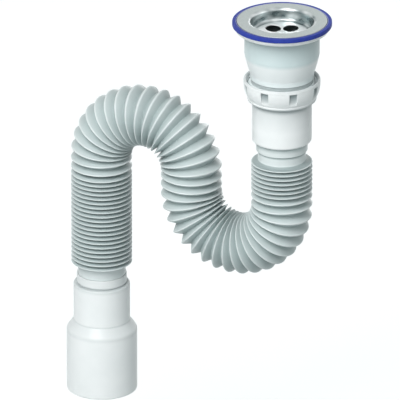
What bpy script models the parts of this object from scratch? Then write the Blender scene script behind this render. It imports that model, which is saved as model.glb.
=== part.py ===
"""Flexible sink trap: a strainer waste with a blue flange seal, a union nut, and a bellows hose bent into an S.

Frame: +Z up, metres. The origin is the centre of the sink's drain hole, in the plane where the flange seal
bears on the sink. The waste hangs below it on the Z axis. The S of the hose lies in the XZ plane and runs
towards -X, and the outlet spigot stands under its far end, mouth down.
"""

import math

import bmesh
import bpy
from mathutils import Matrix, Vector

# Fits
GAP = 0.0003  # gap kept between two pieces that bear on each other
ROUND_SIDES = 24  # sides of a turned piece
HOSE_SIDES = 16  # sides of the hose

# Flange seal, the blue ring round the steel
SEAL_RADIUS = 0.0350
SEAL_LIP_HEIGHT = 0.0031
SEAL_SEAT_HEIGHT = 0.0022

# Strainer cup, pressed from one sheet
SHEET = 0.0008
STEEL_RADIUS = 0.0317
CUP_RADIUS = 0.0223  # inside, at the top of the wall
CUP_DEPTH = 0.0100
CUP_TAPER = 0.0012
CUP_LIP_ROUND = 0.0022
CUP_FLOOR_ROUND = 0.0024
DRAIN_HOLES = 5
DRAIN_HOLE_RADIUS = 0.00545
DRAIN_CIRCLE_RADIUS = 0.0105
DRAIN_HOLE_TURN = math.radians(7)

# Clamp screw and its captive nut
SHANK_RADIUS = 0.0030
SHANK_LENGTH = 0.0170
HEAD_RADIUS = 0.0048
HEAD_HEIGHT = 0.0026
SLOT_WIDTH = 0.0012
SLOT_DEPTH = 0.0012
INSERT_FLAT = 0.0050  # centre to flat
INSERT_HEIGHT = 0.0050

# Outlet body
BODY_FLANGE_RADIUS = 0.0325
BODY_FLANGE_HEIGHT = 0.0030
BODY_RADIUS = 0.0264
BODY_WALL = 0.0023
BODY_STRAIGHT = 0.0175
BODY_TAPER_HEIGHT = 0.0127
BODY_NECK_RADIUS = 0.0225
BODY_NECK_HEIGHT = 0.0090
RELIEF_RADIUS = 0.0216  # groove above the thread
RELIEF_HEIGHT = 0.0050
THREAD_RADIUS = 0.0239
THREAD_HEIGHT = 0.0077
BOSS_RADIUS = 0.0078
BOSS_HEIGHT = 0.0140
RIB_WIDTH = 0.0024
RIB_HEIGHT = 0.0100

# Union nut, its seal, and the cuff that it holds
UNION_SEAL_HEIGHT = 0.0022
UNION_SEAL_WIDTH = 0.0042
CUFF_FLANGE_HEIGHT = 0.0022
CUFF_RADIUS = 0.0210
CUFF_WALL = 0.0020
CUFF_LENGTH = 0.0341  # flange included
CUFF_LIP_LENGTH = 0.0040
CUFF_ROUND = 0.0026
NUT_RADIUS = 0.0270
NUT_HEIGHT = 0.0176
NUT_FLOOR = 0.0016
NUT_TOP_ROUND = 0.0022
NUT_BELLY_DROP = 0.0030  # from the top to the widest circle
NUT_THREAD_CLEARANCE = 0.0004
NOTCHES = 8
NOTCH_WIDTH = 0.0055
NOTCH_FLOOR_RADIUS = 0.0251
NOTCH_DROP = 0.0032  # from the nut's top to the notch's top
NOTCH_HEIGHT = 0.0115

# Hose
CREST_RADIUS = 0.0216
ROOT_RADIUS = 0.0168
HOSE_WALL = 0.0005
OPEN_PITCH = 0.00644
CLOSED_PITCH = 0.00339
TOP_CLOSED_RINGS = 7
OPEN_RINGS = 40
LOW_CLOSED_RINGS = 21
BEND_RADIUS = 0.0350
FIRST_RUN = 0.0334  # first crest to the start of the U
MIDDLE_RUN = 0.0143  # straight run between the two bends
BEAD_RADIUS = 0.0182
BEAD_HEIGHT = 0.0074
BEAD_CHAMFER = 0.0010
NECK_RADIUS = 0.0169
FIRST_CREST_DROP = 0.0163  # cuff's lower edge to the first crest
TOP_STUB_LENGTH = 0.0120  # inside the cuff
LOW_NECK_LENGTH = 0.0093  # last crest to the spigot's collar
LOW_STUB_RADIUS = 0.0160
LOW_STUB_LENGTH = 0.0100  # inside the spigot

# Outlet spigot, 40 mm stepping to 50 mm
COLLAR_RADIUS = 0.0177
COLLAR_HEIGHT = 0.0069
SMALL_RADIUS = 0.0200
SMALL_LENGTH = 0.0285
LARGE_RADIUS = 0.0250
LARGE_LENGTH = 0.0462
STEP_HEIGHT = 0.0065
SPIGOT_WALL = 0.0022
SPIGOT_ROUND = 0.0022
SPIGOT_MOUTH_ROUND = 0.0010

# Heights that follow from the sizes above
STEEL_TOP = SEAL_SEAT_HEIGHT + GAP + SHEET
CUP_FLOOR = STEEL_TOP - CUP_DEPTH
BODY_TOP = -GAP
BODY_FLANGE_LOW = BODY_TOP - BODY_FLANGE_HEIGHT
TAPER_TOP = BODY_FLANGE_LOW - BODY_STRAIGHT
TAPER_LOW = TAPER_TOP - BODY_TAPER_HEIGHT
THREAD_TOP = TAPER_LOW - BODY_NECK_HEIGHT
BODY_LOW = THREAD_TOP - THREAD_HEIGHT
BOSS_TOP = CUP_FLOOR - SHEET - GAP
BOSS_LOW = BOSS_TOP - BOSS_HEIGHT
UNION_SEAL_TOP = BODY_LOW - GAP
CUFF_TOP = UNION_SEAL_TOP - UNION_SEAL_HEIGHT - GAP
CUFF_LOW = CUFF_TOP - CUFF_LENGTH
NUT_FLOOR_TOP = CUFF_TOP - CUFF_FLANGE_HEIGHT - GAP
NUT_LOW = NUT_FLOOR_TOP - NUT_FLOOR
NUT_TOP = NUT_LOW + NUT_HEIGHT
FIRST_CREST = CUFF_LOW - FIRST_CREST_DROP
HOSE_TOP = CUFF_LOW + TOP_STUB_LENGTH
U_BEND_HEIGHT = FIRST_CREST - FIRST_RUN
TOP_BEND_HEIGHT = U_BEND_HEIGHT + MIDDLE_RUN
OUTLET_X = -4 * BEND_RADIUS


def empty_scene():
    for obj in list(bpy.data.objects):
        bpy.data.objects.remove(obj, do_unlink=True)


def new_collection(name):
    collection = bpy.data.collections.new(name)
    bpy.context.scene.collection.children.link(collection)
    return collection


def new_material(name, colour, roughness, metallic=0.0):
    material = bpy.data.materials.new(name)
    material.use_nodes = True
    shader = material.node_tree.nodes["Principled BSDF"]
    shader.inputs["Base Color"].default_value = (*colour, 1.0)
    shader.inputs["Roughness"].default_value = roughness
    shader.inputs["Metallic"].default_value = metallic
    return material


def rounded(corners, steps=3):
    """Corners (radius, height) or (radius, height, round) as points, each rounded corner as an arc.

    A corner's round is limited to half of the shorter edge beside it.
    """
    points = [Vector(corner[:2]) for corner in corners]
    outline = []
    for index, corner in enumerate(corners):
        here = points[index]
        if len(corner) == 2:
            outline.append(tuple(here))
            continue
        before = points[index - 1] - here
        after = points[(index + 1) % len(points)] - here
        half_angle = before.angle(after) / 2
        reach = min(corner[2] / math.tan(half_angle), before.length / 2, after.length / 2)
        radius = reach * math.tan(half_angle)
        middle = here + (before.normalized() + after.normalized()).normalized() * radius / math.sin(half_angle)
        start = here + before.normalized() * reach - middle
        sweep = start.angle_signed(here + after.normalized() * reach - middle)
        for step in range(steps + 1):
            arm = Matrix.Rotation(-sweep * step / steps, 2) @ start
            outline.append(tuple(middle + arm))
    return outline


def barrel(top_radius, low_radius, top, low, steps=5):
    """Points of an arc that leaves top_radius straight down and swings in to low_radius."""
    fall = top - low
    inset = top_radius - low_radius
    arc_radius = (inset**2 + fall**2) / (2 * inset)
    sweep = math.asin(fall / arc_radius)
    return [
        (
            top_radius - arc_radius * (1 - math.cos(sweep * step / steps)),
            top - arc_radius * math.sin(sweep * step / steps),
        )
        for step in range(steps + 1)
    ]


def mesh_object(name, vertices, edges, collection, material=None, faces=()):
    mesh = bpy.data.meshes.new(name)
    mesh.from_pydata([tuple(v) for v in vertices], edges, faces)
    obj = bpy.data.objects.new(name, mesh)
    collection.objects.link(obj)
    if material:
        mesh.materials.append(material)
    return obj


def turned(name, outline, collection, material, closed=True, sides=ROUND_SIDES, place=(0, 0, 0)):
    """A solid turned about its own Z axis. The outline runs down its outer side, and back up its inner side."""
    vertices = [(radius, 0, height) for radius, height in outline]
    edges = [(i, i + 1) for i in range(len(outline) - 1)]
    if closed:
        edges.append((len(outline) - 1, 0))
    obj = mesh_object(name, vertices, edges, collection, material)
    obj.location = place
    screw = obj.modifiers.new("turn", "SCREW")
    screw.axis = "Z"
    screw.steps = screw.render_steps = sides
    screw.use_merge_vertices = True
    screw.merge_threshold = 0.00001
    screw.use_smooth_shade = True
    return obj


def joined(name, shapes, cutters):
    """One cutter made of several closed shapes, each a bmesh function and its placement."""
    mesh = bpy.data.meshes.new(name)
    shell = bmesh.new()
    for make, settings, placement in shapes:
        make(shell, matrix=placement, **settings)
    shell.to_mesh(mesh)
    shell.free()
    obj = bpy.data.objects.new(name, mesh)
    cutters.objects.link(obj)
    obj.hide_render = True
    obj.display_type = "WIRE"
    return obj


def cylinder_shape(radius, low, high, x=0.0, y=0.0, sides=12, turn=0.0):
    settings = {
        "cap_ends": True,
        "cap_tris": False,
        "segments": sides,
        "radius1": radius,
        "radius2": radius,
        "depth": high - low,
    }
    placement = Matrix.Translation((x, y, (low + high) / 2)) @ Matrix.Rotation(turn, 4, "Z")
    return bmesh.ops.create_cone, settings, placement


def box_shape(size, centre, turn=0.0):
    placement = (
        Matrix.Rotation(turn, 4, "Z") @ Matrix.Translation(centre) @ Matrix.Diagonal((*size, 1.0))
    )
    return bmesh.ops.create_cube, {"size": 1.0}, placement


def cut(obj, cutter, operation="DIFFERENCE"):
    modifier = obj.modifiers.new(cutter.name, "BOOLEAN")
    modifier.operation = operation
    modifier.object = cutter


def make_strainer_cup(parts, cutters, material):
    """Pressed cup: a flat rim, a rounded lip, a slightly tapered wall and a floor with its drain holes."""
    floor_radius = CUP_RADIUS - CUP_TAPER
    inner = [
        (0, CUP_FLOOR),
        (floor_radius, CUP_FLOOR, CUP_FLOOR_ROUND),
        (CUP_RADIUS, STEEL_TOP, CUP_LIP_ROUND),
    ]
    outer = [
        (STEEL_RADIUS, STEEL_TOP - SHEET),
        (CUP_RADIUS + SHEET, STEEL_TOP - SHEET, CUP_LIP_ROUND - SHEET),
        (floor_radius + SHEET, CUP_FLOOR - SHEET, CUP_FLOOR_ROUND + SHEET),
        (0, CUP_FLOOR - SHEET),
    ]
    rim = [(STEEL_RADIUS - SHEET / 2, STEEL_TOP), (STEEL_RADIUS, STEEL_TOP - SHEET / 2)]
    cup = turned("strainer_cup", rounded(inner + rim + outer), parts, material, closed=False)
    low, high = CUP_FLOOR - 3 * SHEET, CUP_FLOOR + 2 * SHEET
    holes = [cylinder_shape(SHANK_RADIUS + GAP, low, high)]
    for number in range(DRAIN_HOLES):
        angle = DRAIN_HOLE_TURN + math.tau * number / DRAIN_HOLES
        x, y = DRAIN_CIRCLE_RADIUS * math.cos(angle), DRAIN_CIRCLE_RADIUS * math.sin(angle)
        holes.append(cylinder_shape(DRAIN_HOLE_RADIUS, low, high, x, y, sides=14))
    cut(cup, joined("drain_holes", holes, cutters))
    return cup


def make_flange_seal(parts, material):
    """Soft ring between the steel rim and the sink, with a lip round the rim's edge."""
    lip_inner = STEEL_RADIUS + GAP
    outline = [
        (lip_inner, SEAL_LIP_HEIGHT),
        (SEAL_RADIUS, SEAL_LIP_HEIGHT, SEAL_LIP_HEIGHT * 0.4),
        (SEAL_RADIUS, 0, SEAL_LIP_HEIGHT * 0.2),
        (CUP_RADIUS + SHEET + GAP, 0),
        (CUP_RADIUS + SHEET + GAP, SEAL_SEAT_HEIGHT - CUP_LIP_ROUND / 2),
        (CUP_RADIUS + SHEET + GAP + CUP_LIP_ROUND / 2, SEAL_SEAT_HEIGHT),
        (lip_inner, SEAL_SEAT_HEIGHT),
    ]
    return turned("flange_seal", rounded(outline, steps=2), parts, material)


def make_outlet_body(parts, cutters, material):
    """Moulded body: flange, shell, neck and threaded end, with a ribbed boss across its bore."""
    outer = [
        (BODY_FLANGE_RADIUS, BODY_TOP),
        (BODY_FLANGE_RADIUS, BODY_FLANGE_LOW + BODY_FLANGE_HEIGHT / 2),
        (BODY_FLANGE_RADIUS - BODY_FLANGE_HEIGHT / 3, BODY_FLANGE_LOW),
        (BODY_RADIUS, BODY_FLANGE_LOW),
        *barrel(BODY_RADIUS, BODY_NECK_RADIUS, TAPER_TOP, TAPER_LOW),
        (BODY_NECK_RADIUS, THREAD_TOP + RELIEF_HEIGHT),
        (RELIEF_RADIUS, THREAD_TOP + RELIEF_HEIGHT - 0.0004),
        (RELIEF_RADIUS, THREAD_TOP),
        (THREAD_RADIUS, THREAD_TOP),
        (THREAD_RADIUS, BODY_LOW),
    ]
    bore = BODY_NECK_RADIUS - BODY_WALL
    shell_bore = BODY_RADIUS - BODY_WALL
    inner = [(bore, BODY_LOW)]
    inner += reversed(barrel(shell_bore, bore, TAPER_TOP, TAPER_LOW, steps=4))
    inner.append((shell_bore, BODY_TOP))
    body = turned("outlet_body", outer + inner, parts, material)
    rib_reach = BODY_RADIUS - BODY_WALL / 2
    rib_middle = BOSS_LOW + RIB_HEIGHT / 2
    for number in range(2):
        rib = box_shape((2 * rib_reach, RIB_WIDTH, RIB_HEIGHT), (0, 0, rib_middle), math.pi * number / 2)
        cut(body, joined(f"rib_{number + 1}", [rib], cutters), "UNION")
    boss = cylinder_shape(BOSS_RADIUS, BOSS_LOW, BOSS_TOP, sides=16)
    cut(body, joined("boss", [boss], cutters), "UNION")
    screw_way = cylinder_shape(SHANK_RADIUS + GAP, BOSS_LOW - RIB_WIDTH, BOSS_TOP + RIB_WIDTH)
    cut(body, joined("screw_way", [screw_way], cutters))
    pocket_radius = (INSERT_FLAT + GAP) / math.cos(math.pi / 6)
    pocket_top = BOSS_LOW + INSERT_HEIGHT + GAP
    pocket = cylinder_shape(pocket_radius, BOSS_LOW - RIB_WIDTH, pocket_top, sides=6)
    cut(body, joined("insert_pocket", [pocket], cutters))
    return body


def make_threaded_insert(parts, cutters, material):
    """Hexagon nut held in the boss, which the clamp screw pulls up."""
    bpy.ops.mesh.primitive_cylinder_add(
        vertices=6,
        radius=INSERT_FLAT / math.cos(math.pi / 6),
        depth=INSERT_HEIGHT,
        location=(0, 0, BOSS_LOW + INSERT_HEIGHT / 2),
    )
    nut = take_active("threaded_insert", parts, material)
    low, high = BOSS_LOW - INSERT_HEIGHT, BOSS_LOW + 2 * INSERT_HEIGHT
    cut(nut, joined("insert_bore", [cylinder_shape(SHANK_RADIUS + GAP, low, high)], cutters))
    return nut


def take_active(name, collection, material):
    obj = bpy.context.active_object
    for owner in list(obj.users_collection):
        owner.objects.unlink(obj)
    collection.objects.link(obj)
    obj.name = obj.data.name = name
    obj.data.materials.append(material)
    return obj


def make_clamp_screw(parts, cutters, material):
    """Slotted dome head on a plain shank, which clamps the cup down on the body."""
    head_low = CUP_FLOOR + GAP
    tip = head_low - SHANK_LENGTH
    head = [
        (HEAD_RADIUS * math.sin(step * math.pi / 8), head_low + HEAD_HEIGHT * math.cos(step * math.pi / 8))
        for step in range(5)
    ]
    head[0] = (0, head_low + HEAD_HEIGHT)
    shank = [
        (SHANK_RADIUS, head_low),
        (SHANK_RADIUS, tip + SHANK_RADIUS / 3),
        (SHANK_RADIUS * 2 / 3, tip),
        (0, tip),
    ]
    screw = turned("clamp_screw", head + shank, parts, material, closed=False, sides=14)
    slot_size = (3 * HEAD_RADIUS, SLOT_WIDTH, 2 * SLOT_DEPTH)
    slot = box_shape(slot_size, (0, 0, head_low + HEAD_HEIGHT), DRAIN_HOLE_TURN)
    cut(screw, joined("slot", [slot], cutters))
    return screw


def make_union_seal(parts, material):
    """Flat ring squeezed between the body's end and the cuff's flange."""
    low = UNION_SEAL_TOP - UNION_SEAL_HEIGHT
    outline = [
        (THREAD_RADIUS, UNION_SEAL_TOP),
        (THREAD_RADIUS, low),
        (THREAD_RADIUS - UNION_SEAL_WIDTH, low),
        (THREAD_RADIUS - UNION_SEAL_WIDTH, UNION_SEAL_TOP),
    ]
    return turned("union_seal", outline, parts, material)


def make_union_nut(parts, cutters, material):
    """Cup-shaped ring nut: threaded bore, floor that carries the cuff's flange, and grip notches."""
    bore = THREAD_RADIUS + NUT_THREAD_CLEARANCE
    foot = CUFF_RADIUS + GAP + NUT_FLOOR
    shoulder = NUT_TOP - NUT_BELLY_DROP
    outline = [
        *rounded([(bore, NUT_TOP), (NUT_RADIUS, NUT_TOP, NUT_TOP_ROUND), (NUT_RADIUS, shoulder)])[:-1],
        *barrel(NUT_RADIUS, foot, shoulder, NUT_LOW, steps=6),
        (CUFF_RADIUS + GAP, NUT_LOW),
        (CUFF_RADIUS + GAP, NUT_FLOOR_TOP),
        (bore, NUT_FLOOR_TOP),
    ]
    nut = turned("union_nut", outline, parts, material)
    depth = NUT_RADIUS
    middle = (NOTCH_FLOOR_RADIUS + depth / 2, 0, NUT_TOP - NOTCH_DROP - NOTCH_HEIGHT / 2)
    notches = [
        box_shape((depth, NOTCH_WIDTH, NOTCH_HEIGHT), middle, math.tau * number / NOTCHES)
        for number in range(NOTCHES)
    ]
    cut(nut, joined("grip_notches", notches, cutters))
    return nut


def make_hose_cuff(parts, material):
    """Plain sleeve: a flange in the nut above, and a lip below that holds the hose's neck."""
    inner = CUFF_RADIUS - CUFF_WALL
    outline = [
        (THREAD_RADIUS, CUFF_TOP),
        (THREAD_RADIUS, CUFF_TOP - CUFF_FLANGE_HEIGHT),
        (CUFF_RADIUS, CUFF_TOP - CUFF_FLANGE_HEIGHT),
        (CUFF_RADIUS, CUFF_LOW, CUFF_ROUND),
        (NECK_RADIUS + GAP, CUFF_LOW),
        (NECK_RADIUS + GAP, CUFF_LOW + CUFF_LIP_LENGTH),
        (inner, CUFF_LOW + CUFF_LIP_LENGTH + CUFF_WALL),
        (inner, CUFF_TOP),
    ]
    return turned("hose_cuff", rounded(outline), parts, material)


def crest_distances():
    """Each ring's crest, as a distance along the route from the first crest.

    A ring that is snapped shut takes CLOSED_PITCH of the route and one that is pulled open OPEN_PITCH.
    """
    pitches = [CLOSED_PITCH] * TOP_CLOSED_RINGS + [OPEN_PITCH] * OPEN_RINGS + [CLOSED_PITCH] * LOW_CLOSED_RINGS
    crests = [0.0]
    for before, after in zip(pitches, pitches[1:]):
        crests.append(crests[-1] + (before + after) / 2)
    return crests


def hose_outline(crests):
    """Outer radius against distance along the route: stub, bead, neck, the rings, neck and stub."""
    start = HOSE_TOP - FIRST_CREST  # route length above the first crest
    bead_top = TOP_STUB_LENGTH + GAP
    bead_low = bead_top + BEAD_HEIGHT
    neck_end = start - CLOSED_PITCH * 0.4
    outline = [
        (NECK_RADIUS, 0),
        (NECK_RADIUS, bead_top),
        (BEAD_RADIUS, bead_top),
        (BEAD_RADIUS, bead_low - BEAD_CHAMFER),
        (NECK_RADIUS, bead_low),
        (NECK_RADIUS, neck_end),
    ]
    for number, crest in enumerate(crests):
        outline.append((CREST_RADIUS, start + crest))
        if number + 1 < len(crests):
            outline.append((ROOT_RADIUS, start + (crest + crests[number + 1]) / 2))
    last = start + crests[-1]
    collar_top = last + LOW_NECK_LENGTH
    outline += [
        (NECK_RADIUS, last + CLOSED_PITCH * 0.4),
        (NECK_RADIUS, collar_top),
        (LOW_STUB_RADIUS, collar_top + NECK_RADIUS - LOW_STUB_RADIUS),
        (LOW_STUB_RADIUS, collar_top + LOW_STUB_LENGTH),
    ]
    return outline


def bezier_point(spline, index, position, direction, reach_in, reach_out):
    point = spline.bezier_points[index]
    point.handle_left_type = point.handle_right_type = "FREE"
    point.co = position
    point.handle_left = Vector(position) - Vector(direction) * reach_in
    point.handle_right = Vector(position) + Vector(direction) * reach_out


def make_hose_route(low_end, guides):
    """The hose's centre line: down, round the U, up, over the top bend and down to the spigot."""
    curve = bpy.data.curves.new("hose_route", "CURVE")
    curve.dimensions = "3D"
    curve.resolution_u = 48
    spline = curve.splines.new("BEZIER")
    arc = BEND_RADIUS * 4 / 3 * (math.sqrt(2) - 1)  # handle length of a quarter turn
    down, up, across = (0, 0, -1), (0, 0, 1), (-1, 0, 0)
    r = BEND_RADIUS
    first = (HOSE_TOP - U_BEND_HEIGHT) / 3
    middle = MIDDLE_RUN / 3
    last = (TOP_BEND_HEIGHT - low_end) / 3
    stations = [
        ((0, 0, HOSE_TOP), down, first, first),
        ((0, 0, U_BEND_HEIGHT), down, first, arc),
        ((-r, 0, U_BEND_HEIGHT - r), across, arc, arc),
        ((-2 * r, 0, U_BEND_HEIGHT), up, arc, middle),
        ((-2 * r, 0, TOP_BEND_HEIGHT), up, middle, arc),
        ((-3 * r, 0, TOP_BEND_HEIGHT + r), across, arc, arc),
        ((-4 * r, 0, TOP_BEND_HEIGHT), down, arc, last),
        ((-4 * r, 0, low_end), down, last, last),
    ]
    spline.bezier_points.add(len(stations) - 1)
    for index, station in enumerate(stations):
        bezier_point(spline, index, *station)
    route = bpy.data.objects.new("hose_route", curve)
    guides.objects.link(route)
    route.hide_render = True
    return route


def hose_low_end(outline):
    """Height of the hose's lower end: its developed length, less what the run and the bends take."""
    length = outline[-1][1]
    used = (HOSE_TOP - U_BEND_HEIGHT) + MIDDLE_RUN + 2 * math.pi * BEND_RADIUS
    return TOP_BEND_HEIGHT - (length - used)


def make_hose(parts, guides, material):
    """Bellows turned straight from a zigzag, given its wall, then bent along the route."""
    outline = hose_outline(crest_distances())
    low_end = hose_low_end(outline)
    hose = turned("hose", outline, parts, material, closed=False, sides=HOSE_SIDES)
    hose.modifiers["turn"].use_normal_flip = True
    wall = hose.modifiers.new("wall", "SOLIDIFY")
    wall.thickness = HOSE_WALL
    wall.offset = -1
    wall.use_even_offset = True
    bend = hose.modifiers.new("bend", "CURVE")
    bend.object = make_hose_route(low_end, guides)
    bend.deform_axis = "POS_Z"
    return hose, low_end


def make_outlet_spigot(parts, material, hose_end):
    """Stepped outlet sleeve: collar round the hose's end, 40 mm sleeve, shoulder, 50 mm sleeve."""
    collar_top = hose_end + LOW_STUB_LENGTH - GAP
    small_top = collar_top - COLLAR_HEIGHT
    small_low = small_top - SMALL_LENGTH
    large_top = small_low - STEP_HEIGHT
    mouth = large_top - LARGE_LENGTH
    stub_way = LOW_STUB_RADIUS + GAP
    outline = [
        (COLLAR_RADIUS, collar_top),
        (COLLAR_RADIUS, small_top),
        (SMALL_RADIUS, small_top, SPIGOT_ROUND),
        (SMALL_RADIUS, small_low),
        (LARGE_RADIUS, large_top, STEP_HEIGHT * 0.6),
        (LARGE_RADIUS, mouth, SPIGOT_MOUTH_ROUND),
        (LARGE_RADIUS - SPIGOT_WALL, mouth),
        (LARGE_RADIUS - SPIGOT_WALL, large_top - SPIGOT_WALL),
        (SMALL_RADIUS - SPIGOT_WALL, small_low - SPIGOT_WALL),
        (SMALL_RADIUS - SPIGOT_WALL, small_top - SPIGOT_WALL - SPIGOT_ROUND),
        (stub_way, small_top - SPIGOT_WALL),
        (stub_way, collar_top - GAP - (NECK_RADIUS - LOW_STUB_RADIUS)),
        (NECK_RADIUS, collar_top),
    ]
    return turned("outlet_spigot", rounded(outline), parts, material, place=(OUTLET_X, 0, 0))


def main():
    empty_scene()
    parts = new_collection("flexible_sink_trap")
    cutters = new_collection("cutters_and_guides")
    steel = new_material("polished_steel", (0.72, 0.73, 0.73), 0.22, 1.0)
    plated = new_material("plated_steel", (0.62, 0.63, 0.64), 0.3, 1.0)
    brass = new_material("brass", (0.72, 0.56, 0.26), 0.35, 1.0)
    blue = new_material("blue_seal", (0.045, 0.07, 0.42), 0.5)
    white = new_material("white_plastic", (0.83, 0.87, 0.88), 0.35)
    grey = new_material("grey_plastic", (0.56, 0.63, 0.63), 0.4)
    rubber = new_material("seal_rubber", (0.05, 0.05, 0.055), 0.8)

    make_strainer_cup(parts, cutters, steel)
    make_flange_seal(parts, blue)
    make_outlet_body(parts, cutters, white)
    make_threaded_insert(parts, cutters, brass)
    make_clamp_screw(parts, cutters, plated)
    make_union_seal(parts, rubber)
    make_union_nut(parts, cutters, white)
    make_hose_cuff(parts, white)
    hose, hose_end = make_hose(parts, cutters, grey)
    make_outlet_spigot(parts, white, hose_end)
    bpy.context.view_layer.update()


main()
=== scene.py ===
# %% [markdown]
# # A flexible sink trap
# A strainer waste with a blue flange seal hangs in a sink, a union nut holds a cuff under it, and a
# bellows hose runs from the cuff down, round a U and over a second bend to a stepped outlet spigot.
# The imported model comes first, because every piece made below has to sit where a solid of it sits.

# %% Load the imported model
import math

import bpy
import numpy as np
from mathutils import Matrix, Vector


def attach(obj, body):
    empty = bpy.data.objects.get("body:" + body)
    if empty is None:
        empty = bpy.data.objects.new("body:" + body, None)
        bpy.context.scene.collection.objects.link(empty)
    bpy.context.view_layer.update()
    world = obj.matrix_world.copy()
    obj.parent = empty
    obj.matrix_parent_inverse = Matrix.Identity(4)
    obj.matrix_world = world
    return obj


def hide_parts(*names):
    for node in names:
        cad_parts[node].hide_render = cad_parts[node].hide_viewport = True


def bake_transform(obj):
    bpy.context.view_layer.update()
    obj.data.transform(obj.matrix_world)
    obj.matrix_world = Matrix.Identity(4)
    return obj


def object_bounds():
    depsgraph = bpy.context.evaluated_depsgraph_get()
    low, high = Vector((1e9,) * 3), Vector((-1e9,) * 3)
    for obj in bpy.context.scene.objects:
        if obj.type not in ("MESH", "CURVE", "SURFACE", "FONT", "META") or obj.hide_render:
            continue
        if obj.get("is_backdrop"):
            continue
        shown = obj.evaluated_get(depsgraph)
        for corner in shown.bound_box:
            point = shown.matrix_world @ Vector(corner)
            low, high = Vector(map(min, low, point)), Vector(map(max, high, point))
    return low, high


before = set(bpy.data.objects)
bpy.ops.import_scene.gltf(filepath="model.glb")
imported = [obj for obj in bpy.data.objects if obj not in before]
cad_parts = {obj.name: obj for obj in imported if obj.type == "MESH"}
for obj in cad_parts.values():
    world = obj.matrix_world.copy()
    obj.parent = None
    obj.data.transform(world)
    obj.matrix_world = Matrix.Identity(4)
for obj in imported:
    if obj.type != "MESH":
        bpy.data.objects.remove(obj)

cad_box = [list(corner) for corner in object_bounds()]
print("nodes:", sorted(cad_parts))
print("CAD box in mm:", np.round(np.array(cad_box) * 1000, 1).tolist())

# %% [markdown]
# ## Camera
# Product pictures are often taken with a long lens from far away, so that parallel edges stay parallel.
# Here the camera looks from 25 degrees round and 23 degrees above, and one pixel of a 400 pixel frame is
# 0.704 mm on the object.

# %% Camera
PICTURE_SIDE = 400
PIXELS_PER_METRE = 1420.3
CAMERA_AZIMUTH = math.radians(25)
CAMERA_ELEVATION = math.radians(23)
CAMERA_DISTANCE = 12.0
STEEL_CENTRE_PIXEL = np.array([281.05, 21.05])  # where the middle of the steel rim's top falls
STEEL_TOP = 0.0033
OBJECT_MIDDLE = np.array([-0.055, 0.0, -0.15])

turn, tilt = CAMERA_AZIMUTH, CAMERA_ELEVATION
view_right = np.array([math.cos(turn), math.sin(turn), 0.0])
view_up = np.array([-math.sin(turn) * math.sin(tilt), math.cos(turn) * math.sin(tilt), math.cos(tilt)])
view_back = np.cross(view_right, view_up)
offset = ((PICTURE_SIDE - 1) / 2 - STEEL_CENTRE_PIXEL) / PIXELS_PER_METRE
steel_centre = np.array([0.0, 0.0, STEEL_TOP])
target = view_right * offset[0] - view_up * offset[1] + steel_centre
target += view_back * (view_back @ (OBJECT_MIDDLE - target))  # as far away as the object's middle

camera_data = bpy.data.cameras.new("camera")
camera_data.lens = camera_data.sensor_width * CAMERA_DISTANCE / (PICTURE_SIDE / PIXELS_PER_METRE)
camera = bpy.data.objects.new("camera", camera_data)
bpy.context.scene.collection.objects.link(camera)
placement = np.eye(4)
placement[:3, 0], placement[:3, 1], placement[:3, 2] = view_right, view_up, view_back
placement[:3, 3] = target + view_back * CAMERA_DISTANCE
camera.matrix_world = Matrix(placement.tolist())
bpy.context.scene.camera = camera
bpy.context.scene.view_settings.view_transform = "Standard"
print(f"lens {camera_data.lens:.0f} mm at {CAMERA_DISTANCE} m, looking at {np.round(target * 1000, 1)} mm")

# %% [markdown]
# ## Light
# The light is soft and comes mostly from the left front, as from a large softbox. A small one stands low
# in front, a weak one on the right, and a wide one behind brightens the edges of the smooth walls. Where
# they stand is told by the camera's right, straight up and towards the camera, which is easy to imagine.

# %% Softboxes


def add_softbox(name, right, up, back, distance, side, level):
    """A square lamp that faces the object's middle, in direction right * R + up * U + back * B from it.

    level is the brightness that it alone would give a white surface that faces it. A lamp of power P
    gives P / (pi * distance) squared, so P is level times that square.
    """
    way = view_right * right + np.array([0.0, 0.0, 1.0]) * up + view_back * back
    way /= np.linalg.norm(way)
    data = bpy.data.lights.new(name, "AREA")
    data.size = side
    data.energy = level * (math.pi * distance) ** 2
    lamp = bpy.data.objects.new(name, data)
    bpy.context.scene.collection.objects.link(lamp)
    across = np.cross([0.0, 0.0, 1.0], way)
    across /= np.linalg.norm(across)
    place = np.eye(4)
    place[:3, 0], place[:3, 1], place[:3, 2] = across, np.cross(way, across), way
    place[:3, 3] = OBJECT_MIDDLE + way * distance
    lamp.matrix_world = Matrix(place.tolist())
    return lamp


add_softbox("key_softbox", -0.42, 0.62, 0.88, 3.0, 1.6, 0.79)
add_softbox("low_softbox", -0.38, -0.25, 0.88, 1.3, 0.5, 0.16)
add_softbox("fill_softbox", 1.0, 0.30, 0.40, 1.5, 0.6, 0.06)
add_softbox("rear_softbox", 0.25, 0.35, -1.0, 3.0, 1.6, 0.24)

# %% [markdown]
# ## Shader sums
# A material is a graph of nodes, and sums in it are easier to read as Python than as a list of nodes
# and links. `Socket` wraps the output of a node, so that `1 - mask * 0.3` adds the Math nodes it needs.
# `Graph` adds every other node, to a material as well as to the world.

# %% Socket class


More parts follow.
